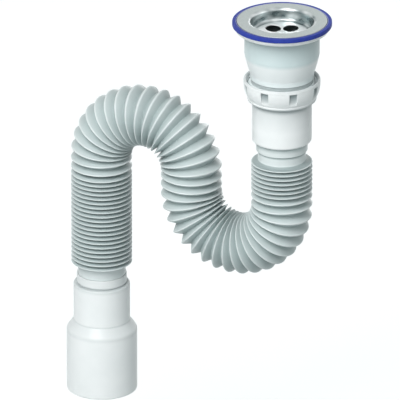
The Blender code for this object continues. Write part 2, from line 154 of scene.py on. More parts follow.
class Socket:
    """One output in a node tree. Operators on it add Math nodes, also with a number on the left."""

    def __init__(self, tree, plug):
        self.tree, self.plug = tree, plug

    def math(self, operation, *others, clamp=False):
        node = self.tree.nodes.new("ShaderNodeMath")
        node.operation, node.use_clamp = operation, clamp
        for plug, value in zip(node.inputs, (self, *others)):
            connect(self.tree, plug, value)
        return Socket(self.tree, node.outputs[0])

    def __add__(self, other):
        return self.math("ADD", other)

    def __sub__(self, other):
        return self.math("SUBTRACT", other)

    def __rsub__(self, other):
        return (self * -1).math("ADD", other)

    def __mul__(self, other):
        return self.math("MULTIPLY", other)

    def __truediv__(self, other):
        return self.math("DIVIDE", other)

    __radd__, __rmul__ = __add__, __mul__

    def ramp(self, low, high):
        """0 up to low, 1 from high on, and between them the distance from low over that to high."""
        return ((self - low) / (high - low)).math("ADD", 0.0, clamp=True)


def connect(tree, plug, value):
    """Links a socket to an input, or sets a plain value there."""
    if isinstance(value, Socket):
        tree.links.new(value.plug, plug)
    else:
        plug.default_value = value


class Graph:
    """A node tree, with one method that adds any node and short names for those used often."""

    def __init__(self, tree):
        self.tree = tree

    def node(self, kind, settings=None, inputs=None, out=0):
        """A node of that kind: its settings first, then values or links of its inputs by name or number."""
        node = self.tree.nodes.new(kind)
        for key, value in (settings or {}).items():
            setattr(node, key, value)
        for key, value in (inputs or {}).items():
            connect(self.tree, node.inputs[key], value)
        return Socket(self.tree, node.outputs[out])

    def mix(self, factor, low, high):
        """The colour low where factor is 0 and high where it is 1."""
        return self.node("ShaderNodeMix", {"data_type": "RGBA"}, {0: factor, 6: low, 7: high}, 2)

    def split(self, vector):
        """The three numbers of a vector."""
        node = self.tree.nodes.new("ShaderNodeSeparateXYZ")
        connect(self.tree, node.inputs[0], vector)
        return [Socket(self.tree, plug) for plug in node.outputs]

    def seen(self):
        """1 for rays from the camera, off polished metal or through glass, and 0 for all others."""
        kinds = ["Is Camera Ray", "Is Glossy Ray", "Is Transmission Ray"]
        camera, glossy, transmitted = [self.node("ShaderNodeLightPath", out=kind) for kind in kinds]
        return (camera + glossy + transmitted).ramp(0, 1)


class Finish(Graph):
    """A material with its shader. Constants of the shader are given by name, with _ for a space."""

    def __init__(self, name, slot, **constants):
        self.slot = slot
        self.material = bpy.data.materials.new(name)
        self.material.use_nodes = True
        super().__init__(self.material.node_tree)
        self.shader = self.tree.nodes["Principled BSDF"]
        for plug, value in constants.items():
            self.shader.inputs[plug.replace("_", " ")].default_value = value
        self.place = self.node("ShaderNodeTexCoord", out="Object")

    def shade(self):
        """The number that the piece gives each of its points."""
        return self.node("ShaderNodeAttribute", {"attribute_name": "shade"}, out="Fac")

    def noise(self, scale, detail=2.0, roughness=0.5, vector=None):
        """Noise from 0 to 1 with about `scale` blotches to a metre, on the place or on another vector."""
        settings = {"Vector": vector or self.place, "Scale": scale, "Detail": detail, "Roughness": roughness}
        return self.node("ShaderNodeTexNoise", None, settings, "Fac")

    def coordinates(self):
        """The place's x, y and z, and its distance from the vertical axis: the root of x * x + y * y."""
        x, y, z = self.split(self.place)
        return x, y, z, (x * x + y * y).math("SQRT")

    def coat(self, base, roughness, relief, depth):
        """Sets colour and roughness, and raises the surface by up to depth, in metres, where relief is 1."""
        bump = self.node("ShaderNodeBump", None, {"Strength": 1.0, "Distance": depth, "Height": relief})
        for plug, value in (("Base Color", base), ("Roughness", roughness), ("Normal", bump)):
            connect(self.tree, self.shader.inputs[plug], value)


def colour(red, green, blue):
    """A colour given as a screen shows it, from 0 to 255, as the linear light that a shader works in.

    That is the share of 255, moved up by 0.055, over 1.055, to the power 2.4, and a 12.92th near black.
    """
    screen = np.array([red, green, blue]) / 255
    light = np.where(screen <= 0.04045, screen / 12.92, ((screen + 0.055) / 1.055) ** 2.4)
    return (*light.tolist(), 1.0)


print("mid grey in linear light:", round(colour(128, 128, 128)[0], 3))

# %% [markdown]
# ## White surroundings
# The background should be white without pouring more light on the object. Light Path tells which kind
# of ray is looking: rays from the camera, and those that come off polished metal or through glass, see a
# white of strength 1, and all others see a dimmer world, which is the plain light between the softboxes.
# That world is brighter near the horizon than overhead, so that shoulders don't burn out before the walls
# are lit.

# %% World and floor
HORIZON_LIGHT = (0.455, 0.49, 0.49, 1.0)
OVERHEAD_LIGHT = (0.15, 0.17, 0.17, 1.0)
WHITE_LIGHT = (1.0, 1.0, 1.0, 1.0)
FLOOR_HEIGHT = -0.372  # clear of the spigot when the hose is pulled long
FLOOR_COLOUR = (0.27, 0.31, 0.315, 1.0)
FLOOR_GLOW = 0.8
FLOOR_HALF = 6.0

world = bpy.data.worlds.new("white_room")
bpy.context.scene.world = world
world.use_nodes = True
background = world.node_tree.nodes["Background"]
background.inputs["Strength"].default_value = 1.0
sky = Graph(world.node_tree)
_, _, upward = sky.split(sky.node("ShaderNodeTexCoord", out="Generated"))
dim = sky.mix(upward.ramp(0, 1), HORIZON_LIGHT, OVERHEAD_LIGHT)
connect(sky.tree, background.inputs["Color"], sky.mix(sky.seen(), dim, WHITE_LIGHT))

floor_finish = Finish("pale_floor", "floor", Roughness=0.9, Base_Color=FLOOR_COLOUR, Emission_Color=WHITE_LIGHT)
glow = floor_finish.seen() * FLOOR_GLOW
connect(floor_finish.tree, floor_finish.shader.inputs["Emission Strength"], glow)

floor_mesh = bpy.data.meshes.new("floor")
signs = [(-1, -1), (1, -1), (1, 1), (-1, 1)]
floor_corners = [(x * FLOOR_HALF, y * FLOOR_HALF, FLOOR_HEIGHT) for x, y in signs]
floor_mesh.from_pydata(floor_corners, [], [(0, 1, 2, 3)])
floor_mesh.materials.append(floor_finish.material)
floor = bpy.data.objects.new("floor", floor_mesh)
bpy.context.scene.collection.objects.link(floor)
floor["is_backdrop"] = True
print("floor at", FLOOR_HEIGHT * 1000, "mm")

# %% [markdown]
# ## Outlines with real edges
# No moulded or pressed edge is perfectly sharp: a small round catches a thin line of light, and that line
# is what makes a render look real. Most pieces here are turned, so one outline of radius and height,
# with a round at each corner, is enough to describe them.

# %% Outline helpers
EDGE = 0.00015  # the least round of any edge, 0.15 mm


def outline(corners, steps=5, support=0.0004):
    """Rows of (radius, height, round) as one smooth path, which keeps its two end points.

    Each corner in between becomes an arc that touches both edges. Between the arms from the arc's centre
    to the two touching points, an arm is the sum of both, weighted by the sines of the angles to it. One
    more point on each side, `support` away, keeps the round's shading off the flat beside it.
    """
    corners = np.array([(*corner, EDGE)[:3] for corner in corners])
    points, rounds = corners[:, :2], corners[1:-1, 2]
    here = points[1:-1]
    back, ahead = points[:-2] - here, points[2:] - here
    back_length, ahead_length = np.linalg.norm(back, axis=1), np.linalg.norm(ahead, axis=1)
    back, ahead = back / back_length[:, None], ahead / ahead_length[:, None]
    half = np.arccos(np.clip((back * ahead).sum(axis=1), -1, 1)) / 2
    reach = np.minimum(rounds / np.tan(half), 0.45 * np.minimum(back_length, ahead_length))
    middle = back + ahead
    middle /= np.linalg.norm(middle, axis=1)[:, None]
    centre = here + middle * (reach * np.tan(half) / np.sin(half))[:, None]
    start, end = here + back * reach[:, None] - centre, here + ahead * reach[:, None] - centre
    sweep = (math.pi - 2 * half)[:, None, None]
    share = np.linspace(0, 1, steps + 1)[None, :, None]
    arms = np.sin((1 - share) * sweep) * start[:, None] + np.sin(share * sweep) * end[:, None]
    arcs = centre[:, None] + arms / np.sin(sweep)
    lead = reach + np.minimum(support, 0.04 * np.minimum(back_length, ahead_length))
    before, after = here + back * lead[:, None], here + ahead * lead[:, None]
    rounded = np.concatenate([before[:, None], arcs, after[:, None]], axis=1).reshape(-1, 2)
    return np.vstack([points[:1], rounded, points[-1:]])


def finer(path, step):
    """The same path with rows added, so that none is further than step from the next.

    Each part gets its length over the step, rounded up, as the number of equal parts it is cut into.
    """
    lengths = np.linalg.norm(np.diff(path, axis=0), axis=1)
    along = np.concatenate([[0], np.cumsum(lengths)])
    parts = np.ceil(lengths / step).astype(int)
    places = [np.linspace(a, b, count, endpoint=False) for a, b, count in zip(along[:-1], along[1:], parts)]
    places = np.concatenate([*places, along[-1:]])
    return np.stack([np.interp(places, along, path[:, 0]), np.interp(places, along, path[:, 1])], axis=1)


def barrel(top_radius, low_radius, top, low, steps=24):
    """An arc that leaves top_radius straight down and swings in to low_radius, as (radius, height).

    Its own radius is the inset and the fall, each squared and summed, over twice the inset.
    """
    fall, inset = top - low, top_radius - low_radius
    arc_radius = (inset**2 + fall**2) / (2 * inset)
    angle = np.linspace(0, math.asin(fall / arc_radius), steps + 1)
    return np.stack([top_radius - arc_radius * (1 - np.cos(angle)), top - arc_radius * np.sin(angle)], axis=1)


def around(count, start=0.0):
    """That many equal steps of a full turn, from start on."""
    return start + np.linspace(0, math.tau, count, endpoint=False)


def spread(path, angles):
    """Rows of (radius, height) repeated for each angle, or as they are where they have the angles already."""
    return path if path.ndim == 3 else np.repeat(path[:, None], len(angles), axis=1)


def turned(path, angles, axis_x=0.0):
    """The path carried round a vertical axis: x is radius times cosine, y radius times sine of the angle."""
    radius, height = np.moveaxis(spread(path, angles), -1, 0)
    return np.stack([axis_x + radius * np.cos(angles), radius * np.sin(angles), height], axis=-1)


print("points of a square corner with its round:", len(outline([(1, 0), (1, 1), (0, 1)])))

# %% [markdown]
# ## From grids to a piece
# A surface is a grid of points with a face between each four neighbours. A grid may close on itself
# across its rows, its columns or both. Points that fall in one place are then made one, so that seams,
# poles and the lines where two grids meet are really closed.

# %% Grid to mesh


def grid_faces(rows, columns, close_rows, close_columns):
    """The four point numbers of each face, going down a row, across a column and back."""
    number = np.arange(rows * columns).reshape(rows, columns)
    number = np.hstack([number, number[:, :1]]) if close_columns else number
    number = np.vstack([number, number[:1]]) if close_rows else number
    corners = [number[:-1, :-1], number[1:, :-1], number[1:, 1:], number[:-1, 1:]]
    return np.stack(corners, axis=-1).reshape(-1, 4)


def welded(points, faces, grain=1e-7):
    """One point where several lie within a grain. A face that lost one corner becomes a triangle."""
    cells = np.round(points / grain).astype(np.int64)
    _, first, place = np.unique(cells, axis=0, return_index=True, return_inverse=True)
    faces = place.reshape(-1)[faces]
    doubled = faces == np.roll(faces, -1, axis=1)
    lost = doubled.sum(axis=1)
    triangles = faces[lost == 1][~doubled[lost == 1]].reshape(-1, 3)
    return first, faces[lost == 0], triangles


def make_piece(name, grids, finish, body, node, sharp=45, values=None):
    """An object from grids of (points, close rows, close columns), in the place of a CAD node.

    It rides on a body of the frame, if one is given. values gives each point a number, which its finish reads
    as shade.
    """
    points, faces = [], []
    for grid, close_rows, close_columns in grids:
        faces.append(grid_faces(*grid.shape[:2], close_rows, close_columns) + sum(map(len, points)))
        points.append(grid.reshape(-1, 3))
    points, faces = np.vstack(points), np.vstack(faces)
    first, squares, triangles = welded(points, faces)
    mesh = bpy.data.meshes.new(name)
    mesh.vertices.add(len(first))
    mesh.vertices.foreach_set("co", points[first].ravel())
    loop_points = np.concatenate([squares.ravel(), triangles.ravel()]).astype(np.int32)
    mesh.loops.add(len(loop_points))
    mesh.loops.foreach_set("vertex_index", loop_points)
    mesh.polygons.add(len(squares) + len(triangles))
    sizes = np.concatenate([np.full(len(squares), 4), np.full(len(triangles), 3)])
    starts = np.concatenate([[0], np.cumsum(sizes)[:-1]]).astype(np.int32)
    mesh.polygons.foreach_set("loop_start", starts)
    mesh.update(calc_edges=True)
    mesh.shade_smooth()
    mesh.set_sharp_from_angle(angle=math.radians(sharp))
    if values is not None:
        mesh.attributes.new("shade", "FLOAT", "POINT").data.foreach_set("value", values.ravel()[first])
    mesh.materials.append(finish.material)
    piece = bpy.data.objects.new(name, mesh)
    bpy.context.scene.collection.objects.link(piece)
    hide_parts(node)
    if body:
        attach(piece, body)
    print(f"{name}: {len(first)} points, {2 * len(squares) + len(triangles)} triangles")
    return piece


print("faces of a grid of 3 by 4 points, closed across its columns:", len(grid_faces(3, 4, False, True)))

# %% [markdown]
# ## White plastic
# The nut, cuff and spigot are moulded in white polypropylene, and the body in a slightly greyer one, whose
# lower part and flange rim are painted lighter, as painted light. The plastic is a little waxy: its gloss is
# soft, its colour is not quite even, and a very fine grain from the mould breaks up the reflections. Painted
# shade darkens the body's inside and the groove above its thread. Each piece can also give a painted shade of
# its own, as under the flange, on the nut, under the nut and on the spigot.

# %% White plastic
# Radii or heights on the body between which its painted light and painted shade fade in
TAPER_FADE, LOW_TAPER_FADE = (-0.0245, -0.0215), (-0.0365, -0.0345)
BORE_FADE, THROAT_FADE, FLANGE_FADE = (0.0244, 0.0250), (-0.0240, -0.0215), (0.0300, 0.0308)
GROOVE_FADE, GROOVE_LOW_FADE, GROOVE_TOP_FADE = (0.0217, 0.0222), (-0.0444, -0.0440), (-0.0391, -0.0388)


def white_plastic(name, low, high):
    """A white finish between two tones of white, darkened towards grey as painted shade where its piece gives a
    shade.
    """
    finish = Finish(name, "white_plastic", IOR=1.49, Specular_IOR_Level=0.45)
    base = finish.mix(finish.noise(45.0, detail=3.0).ramp(0.3, 0.7), low, high)
    return finish, finish.mix(finish.shade().ramp(0, 1), base, colour(134, 147, 149))


def coat_white(finish, base):
    """The soft gloss, uneven by 0.12, and the fine mould grain that all white pieces have."""
    finish.coat(base, 0.3 + 0.12 * finish.noise(160.0), finish.noise(2600.0), 0.00003)


white, white_colour = white_plastic("white_plastic", colour(242, 245, 245), colour(248, 250, 250))
coat_white(white, white_colour)
body_white, body_colour = white_plastic("body_plastic", colour(213, 228, 229), colour(221, 234, 235))
_, _, z, from_axis = body_white.coordinates()
# Painted light: below the taper's top the body is painted whiter, most on the taper and less below it.
painted_light_low_part = (1 - z.ramp(*TAPER_FADE)) * (0.45 + 0.30 * z.ramp(*LOW_TAPER_FADE))
# Painted shade in the relief groove above the thread, inside the nut's mouth.
groove_painted_shade = (1 - from_axis.ramp(*GROOVE_FADE)) * z.ramp(*GROOVE_LOW_FADE) * (1 - z.ramp(*GROOVE_TOP_FADE))
# Painted shade on the body's inside above the taper, and on the boss and ribs in it.
inside = (1 - from_axis.ramp(*BORE_FADE)) * z.ramp(*THROAT_FADE)
body_colour = body_white.mix(painted_light_low_part, body_colour, colour(250, 252, 252))
body_colour = body_white.mix(groove_painted_shade, body_colour, colour(186, 194, 195))
# Painted light: the flange's rim is painted as white as the white pieces.
body_colour = body_white.mix(from_axis.ramp(*FLANGE_FADE), body_colour, colour(248, 250, 250))
coat_white(body_white, body_white.mix(inside, body_colour, colour(122, 130, 131)))
print("white plastic:", len(white.tree.nodes), "nodes, the body's", len(body_white.tree.nodes))

# %% [markdown]
# ## Grey hose plastic
# The hose is softer plastic, light grey with a touch of green. Its crests are smoother and shine, and its
# grooves are duller. Its colour follows how high on a ring a point lies: a painted highlight on the crests,
# and painted shade down the flanks, darkest in the grooves.

# %% Grey hose plastic
# Ring heights between which the groove's painted shade, the flank's and the crest's painted highlight fade in
GROOVE_SHADE_FADE, FLANK_SHADE_FADE, CREST_HIGHLIGHT_FADE = (0.0, 0.35), (0.3, 0.85), (0.88, 0.99)
grey = Finish("grey_hose", "grey_hose", IOR=1.5, Specular_IOR_Level=0.4)
ring_height = grey.shade()
flank = grey.mix(grey.noise(60.0, detail=3.0).ramp(0.3, 0.7), colour(194, 204, 204), colour(202, 212, 212))
# Painted shade and highlight: darker low on the flanks, darkest in the grooves, pale on the crests.
ring_colour = grey.mix(ring_height.ramp(*FLANK_SHADE_FADE), colour(170, 183, 183), flank)
ring_colour = grey.mix(ring_height.ramp(*CREST_HIGHLIGHT_FADE), ring_colour, colour(222, 229, 229))
ring_colour = grey.mix(ring_height.ramp(*GROOVE_SHADE_FADE), colour(126, 138, 139), ring_colour)
ring_roughness = 0.42 - 0.17 * ring_height.ramp(0.5, 1.0) + 0.1 * grey.noise(240.0)
grey.coat(ring_colour, ring_roughness, grey.noise(2200.0), 0.00002)
print("grey plastic:", len(grey.tree.nodes), "nodes")

# %% [markdown]
# ## Seals
# The flange seal is a saturated blue rubber with a satin skin, and a painted sheen of pale lilac on its lip's
# top beside the steel. The union seal is black and dull.

# %% Blue and black rubber
LIP_TOP_FADE, LIP_EDGE_FADE = (0.0027, 0.0030), (0.0323, 0.0327)
blue = Finish("blue_seal", "blue_seal", IOR=1.5, Specular_IOR_Level=0.16)
blue_colour = blue.mix(blue.noise(180.0, detail=4.0).ramp(0.3, 0.7), colour(44, 60, 150), colour(52, 70, 162))
_, _, z, from_axis = blue.coordinates()
# Painted sheen: the lip's top along its inner edge, beside the steel, is painted pale lilac.
painted_sheen = z.ramp(*LIP_TOP_FADE) * (1 - from_axis.ramp(*LIP_EDGE_FADE))
blue_colour = blue.mix(painted_sheen, blue_colour, colour(150, 156, 200))
blue.coat(blue_colour, 0.4 + 0.2 * blue.noise(400.0, detail=3.0), blue.noise(1800.0, detail=3.0), 0.00004)

black = Finish("black_seal", "black_seal", Specular_IOR_Level=0.4)
black_colour = black.mix(black.noise(300.0), colour(26, 26, 28), colour(44, 44, 46))
black.coat(black_colour, 0.6 + 0.25 * black.noise(500.0), black.noise(1500.0, detail=3.0), 0.00005)
print("rubber:", blue.material.name, black.material.name)

# %% [markdown]
# ## Pressed steel
# One sheet makes the rim and the cup. The rim was ground, so it is pale, matt and grainy. The cup was drawn
# over a polished punch, which leaves fine streaks up its wall: they follow the angle round the axis and
# hardly change with height, so the noise reads the direction from the axis instead of the place itself.
# The streaks vary the wall's roughness and relief, and its colour from dark to pale as a painted reflection.
# The cup's floor is painted pale, as painted light.

# %% Strainer steel
CUP_TOP_RADIUS = 0.0223
CUP_DEPTH = 0.0100
CUP_FLOOR = STEEL_TOP - CUP_DEPTH
FLOOR_EDGE_FADE = (0.0180, 0.0195)
steel = Finish("strainer_steel", "strainer_steel", Metallic=1.0)
x, y, z, from_axis = steel.coordinates()
rim = from_axis.ramp(CUP_TOP_RADIUS + 0.0008, CUP_TOP_RADIUS + 0.0022)
unit = from_axis + 1e-5
way_round = steel.node("ShaderNodeCombineXYZ", None, {0: x / unit, 1: y / unit, 2: z * 110})
streaks_and_painted_reflection = steel.noise(1.9, detail=1.0, vector=way_round)
grain = steel.noise(1300.0, detail=4.0, roughness=0.7)
cup_floor = (1 - from_axis.ramp(*FLOOR_EDGE_FADE)) * (1 - z.ramp(CUP_FLOOR + 0.0012, CUP_FLOOR + 0.0020))
# Painted reflection: the wall's colour runs from dark to pale with the streaks.
cup_colour = steel.mix(streaks_and_painted_reflection.ramp(0.35, 0.65), colour(112, 126, 128), colour(218, 224, 224))
# Painted light: the cup's floor is painted pale.
cup_colour = steel.mix(cup_floor, cup_colour, colour(236, 240, 240))
rim_colour = steel.mix(grain.ramp(0.3, 0.7), colour(166, 175, 174), colour(190, 198, 197))
steel_roughness = (0.2 + 0.2 * streaks_and_painted_reflection + 0.2 * cup_floor) * (1 - rim) + (0.42 + 0.2 * grain) * rim
steel_relief = streaks_and_painted_reflection * (1 - rim) * 0.8 + grain * rim
steel.coat(steel.mix(rim, cup_colour, rim_colour), steel_roughness, steel_relief, 0.00004)
print("steel:", len(steel.tree.nodes), "nodes")

# %% Screw and insert metals
plated = Finish("plated_screw", "plated_screw", Metallic=1.0)
scratches = plated.noise(900.0, detail=4.0)
plated_colour = plated.mix(scratches, colour(206, 213, 213), colour(232, 237, 237))
plated.coat(plated_colour, 0.34 + 0.2 * scratches, scratches, 0.00002)

brass = Finish("brass_insert", "brass_insert", Metallic=1.0)
stretched = brass.node("ShaderNodeVectorMath", {"operation": "MULTIPLY"}, {0: brass.place, 1: (1.0, 1.0, 8.0)})
tool_marks = brass.noise(300.0, detail=3.0, vector=stretched)
brass_colour = brass.mix(tool_marks, colour(196, 160, 92), colour(226, 192, 120))
brass.coat(brass_colour, 0.25 + 0.2 * tool_marks, tool_marks, 0.00002)
print("metals:", plated.material.name, brass.material.name)

# %% [markdown]
# ## Strainer cup
# The cup's floor has five round holes on a circle and one in the middle for the screw. A grid can't have a
# hole in it, so the floor is five sectors, each a grid that is wrapped round its own hole: its columns
# go round the hole and its rows run from the sector's edge under the sheet, over the hole's edge, and
# back to the sector's edge on top. Neighbouring sectors share the points of the line between them.

# %% Strainer sizes
SHEET = 0.0008
STEEL_RADIUS = 0.0317
CUP_TAPER = 0.0012
CUP_LIP_ROUND = 0.0022
CUP_FLOOR_ROUND = 0.0024
DRAIN_HOLES = 5
DRAIN_HOLE_RADIUS = 0.00545
DRAIN_CIRCLE_RADIUS = 0.0105
DRAIN_HOLE_TURN = math.radians(7)
SECTOR_OUTER = 0.0172
SECTOR_INNER = 0.0033
FLAT_MIDDLE = 0.0050
OUTER_STEPS, LINE_STEPS, INNER_STEPS = 32, 20, 16
HOLE_EDGE = 0.00022
FLOOR_RISE = 0.0011  # the floor runs down to the middle by this much
HALF_SECTOR = math.pi / DRAIN_HOLES


def sector_border():
    """The border of a sector round the X axis, as (points, 2), walked the way that angles grow.

    It follows the outer circle, comes in along a straight line, follows the inner circle back, and
    goes out along the other line.
    """
    outer = np.linspace(-HALF_SECTOR, HALF_SECTOR, OUTER_STEPS, endpoint=False)
    inner = np.linspace(HALF_SECTOR, -HALF_SECTOR, INNER_STEPS, endpoint=False)
    come_in = np.linspace(SECTOR_OUTER, SECTOR_INNER, LINE_STEPS, endpoint=False)
    go_out = come_in[::-1] - (come_in[-1] - SECTOR_INNER)
    on_outer, on_inner = np.full(OUTER_STEPS, SECTOR_OUTER), np.full(INNER_STEPS, SECTOR_INNER)
    line = np.full(LINE_STEPS, HALF_SECTOR)
    radii = np.concatenate([on_outer, come_in, on_inner, go_out])
    angles = np.concatenate([outer, line, inner, -line])
    return np.stack([radii * np.cos(angles), radii * np.sin(angles)], axis=1)


border = sector_border()
print(f"sector border: {len(border)} points, from {SECTOR_INNER * 1000} to {SECTOR_OUTER * 1000} mm out")

# %% Sector grids


def floor_sector(number):
    """Rows of a sector: each is a mix of the border and the hole's circle, at the sheet's top or underside.

    Near the hole the rows are a quarter circle of HOLE_EDGE round the top edge and a smaller one below.
    """
    hole = np.array([DRAIN_CIRCLE_RADIUS, 0.0])
    arm = border - hole
    way = arm / np.linalg.norm(arm, axis=1)[:, None]
    low, high = CUP_FLOOR - SHEET, CUP_FLOOR
    quarter = np.linspace(0, math.pi / 2, 6)
    under, over = HOLE_EDGE * 0.6, HOLE_EDGE
    away = np.concatenate([under * (1 - np.sin(quarter)), over * (1 - np.cos(quarter))])
    height = np.concatenate([low + under * (1 - np.cos(quarter)), high - over * (1 - np.sin(quarter))])
    edge = hole + way * (DRAIN_HOLE_RADIUS + away[:, None, None])
    share = np.array([1.0, 0.7, 0.4, 0.15, 0.05])[:, None, None]
    bottom, top = edge[0] + (border - edge[0]) * share, edge[-1] + (border - edge[-1]) * share[::-1]
    flat = np.concatenate([bottom, edge, top])
    heights = np.concatenate([np.full(len(share), low), height, np.full(len(share), high)])
    angle = DRAIN_HOLE_TURN + math.tau * number / DRAIN_HOLES
    spin = np.array([[math.cos(angle), math.sin(angle)], [-math.sin(angle), math.cos(angle)]])
    outward = (np.linalg.norm(flat, axis=-1) - FLAT_MIDDLE) / (SECTOR_OUTER - FLAT_MIDDLE)
    return np.dstack([flat @ spin, heights[:, None] + FLOOR_RISE * np.clip(outward, 0, 1)])


floor_radius = CUP_TOP_RADIUS - CUP_TAPER
rim_path = outline([
    (SECTOR_OUTER, CUP_FLOOR + FLOOR_RISE),
    (floor_radius, CUP_FLOOR + FLOOR_RISE, CUP_FLOOR_ROUND),
    (CUP_TOP_RADIUS, STEEL_TOP, CUP_LIP_ROUND),
    (STEEL_RADIUS, STEEL_TOP, 0.0003),
    (STEEL_RADIUS, STEEL_TOP - SHEET, 0.0003),
    (CUP_TOP_RADIUS + SHEET, STEEL_TOP - SHEET, CUP_LIP_ROUND - SHEET),
    (floor_radius + SHEET, CUP_FLOOR - SHEET + FLOOR_RISE, CUP_FLOOR_ROUND + SHEET),
    (SECTOR_OUTER, CUP_FLOOR - SHEET + FLOOR_RISE),
], steps=9)
rim_angles = around(DRAIN_HOLES * OUTER_STEPS, DRAIN_HOLE_TURN - HALF_SECTOR)
middle_angles = around(DRAIN_HOLES * INNER_STEPS, DRAIN_HOLE_TURN - HALF_SECTOR)
middle_hole = np.array([(SECTOR_INNER, CUP_FLOOR - SHEET), (SECTOR_INNER, CUP_FLOOR)])
strainer_grids = [(floor_sector(number), False, True) for number in range(DRAIN_HOLES)]
strainer_grids.append((turned(rim_path, rim_angles), False, True))
strainer_grids.append((turned(middle_hole, middle_angles), False, True))
make_piece("strainer", strainer_grids, steel, "waste", "strainer_cup")

# %% [markdown]
# ## Clamp screw
# A slotted dome head sits in the cup. Its columns run along the slot, and two rows stand close together at
# each of the slot's edges, so that the slot's walls are steep and straight.

# %% Clamp screw
HEAD_RADIUS = 0.0048
HEAD_HEIGHT = 0.0006
HEAD_LOW = CUP_FLOOR + 0.0003
SLOT_HALF = 0.0006
SLOT_DEPTH = 0.0004
SHANK_RADIUS = 0.0030
SHANK_LENGTH = 0.0170
SCREW_PITCH = 0.0010
SCREW_TEETH = 0.00045
SCREW_TIP = 0.0010  # the shank narrows by this much at its tip


def screw_head():
    """Dome and flat underside. Height is HEAD_HEIGHT times the root of 1 less the squared share of the radius.

    Each row is a chord of the round head, so x is a share of the chord's half length. Inside the slot
    the height is no more than the slot's floor.
    """
    across = np.sin(np.linspace(-math.pi / 2, math.pi / 2, 41)) * HEAD_RADIUS
    slot_lines = SLOT_HALF + np.array([-0.0003, -0.00004, 0.00004, 0.0003])
    clear_of_slot = across[np.abs(across) > SLOT_HALF + 0.0004]
    across = np.sort(np.concatenate([clear_of_slot, slot_lines, -slot_lines, [0.0]]))
    share = np.sin(np.linspace(-math.pi / 2, math.pi / 2, 49))
    chord = np.sqrt(np.maximum(HEAD_RADIUS**2 - across**2, 0))
    along = share[:, None] * chord
    beside = np.repeat(across[None], len(share), axis=0)
    rise = HEAD_HEIGHT * np.sqrt(np.clip(1 - (along**2 + beside**2) / HEAD_RADIUS**2, 0, 1))
    slotted = np.where(np.abs(beside) < SLOT_HALF, np.minimum(rise, HEAD_HEIGHT - SLOT_DEPTH), rise)
    cos, sin = math.cos(DRAIN_HOLE_TURN), math.sin(DRAIN_HOLE_TURN)
    x, y = along * cos - beside * sin, along * sin + beside * cos
    dome = np.dstack([x, y, HEAD_LOW + slotted])
    base = np.dstack([x, y, np.full_like(x, HEAD_LOW)])[::-1]
    return dome, base


def thread_wave(phase):
    """A thread's tooth: 1 on its crest, 0 in its root and straight flanks between, once for each turn."""
    far = np.abs((phase + 0.5) % 1.0 - 0.5)
    return np.clip((0.375 - far) / 0.25, 0, 1)


shank_angles = around(32)
axis_path = np.array([(0.0, HEAD_LOW + 0.0002), (0.0, HEAD_LOW - SHANK_LENGTH)])
shank_heights = np.linspace(HEAD_LOW, HEAD_LOW - SHANK_LENGTH, 137)
shank_phase = shank_heights[:, None] / SCREW_PITCH - shank_angles / math.tau
from_tip = (shank_heights - shank_heights[-1])[:, None]
shank_radius = SHANK_RADIUS - SCREW_TEETH * (1 - thread_wave(shank_phase))
shank_radius = np.minimum(shank_radius, SHANK_RADIUS - SCREW_TIP + from_tip)
shank_path = np.dstack([shank_radius, np.repeat(shank_heights[:, None], len(shank_angles), axis=1)])
shank_ends = spread(axis_path, shank_angles)
shank_path = np.concatenate([shank_ends[:1], shank_path, shank_ends[1:]])
dome, base = screw_head()
screw_grids = [(dome, False, False), (base, False, False), (turned(shank_path, shank_angles), False, True)]
make_piece("clamp_screw_slotted", screw_grids, plated, "waste", "clamp_screw", sharp=35)

# %% [markdown]
# ## Flange seal
# The soft ring has a low lip that stands round the steel's edge, and a seat that the rim presses on.

# %% Flange seal
GAP = 0.0003
SEAL_RADIUS = 0.0350
SEAL_LIP_HEIGHT = 0.0031
SEAL_SEAT_HEIGHT = 0.0022
lip_inner = STEEL_RADIUS + GAP
seal_way = CUP_TOP_RADIUS + SHEET + GAP
on_seat = (seal_way + 0.004, SEAL_SEAT_HEIGHT)  # where the outline starts and ends
seal_path = outline([
    on_seat,
    (lip_inner, SEAL_SEAT_HEIGHT),
    (lip_inner, SEAL_LIP_HEIGHT, 0.0003),
    (SEAL_RADIUS, SEAL_LIP_HEIGHT, 0.0006),
    (SEAL_RADIUS, 0, 0.0004),
    (seal_way, 0),
    (seal_way, SEAL_SEAT_HEIGHT - CUP_LIP_ROUND / 2),
    (seal_way + CUP_LIP_ROUND / 2, SEAL_SEAT_HEIGHT),
    on_seat,
])[:-1]
make_piece("blue_flange_seal", [(turned(seal_path, around(160)), True, True)], blue, "waste", "flange_seal")

# %% [markdown]
# ## Outlet body
# The body is a moulded shell: a flange under the sink, a straight part that tapers to a neck, and a threaded
# end. The thread is a right-hand screw of 3 mm pitch, so its tooth is a function of the height less a
# pitch for each turn. Rings of the outline are plain rows, and those of the thread change with the angle.

# %% Outlet body sizes
BODY_TOP = -GAP
BODY_FLANGE_RADIUS = 0.0334
BODY_FLANGE_HEIGHT = 0.0030
BODY_RADIUS = 0.0264
BODY_WALL = 0.0023
BODY_STRAIGHT = 0.0175
BODY_TAPER_HEIGHT = 0.0127
BODY_NECK_RADIUS = 0.0225
BODY_NECK_HEIGHT = 0.0090
RELIEF_RADIUS = 0.0216
RELIEF_HEIGHT = 0.0036
THREAD_RADIUS = 0.0239
THREAD_HEIGHT = 0.0077
THREAD_PITCH = 0.0030
THREAD_DEPTH = 0.0010
BODY_FLANGE_LOW = BODY_TOP - BODY_FLANGE_HEIGHT
TAPER_TOP = BODY_FLANGE_LOW - BODY_STRAIGHT
TAPER_LOW = TAPER_TOP - BODY_TAPER_HEIGHT
CONE_LOW = TAPER_LOW - 0.0020  # the outside tapers a little further down than the inside
TAPER_BELLY = 0.0003
THREAD_TOP = TAPER_LOW - BODY_NECK_HEIGHT
BODY_LOW = THREAD_TOP - THREAD_HEIGHT
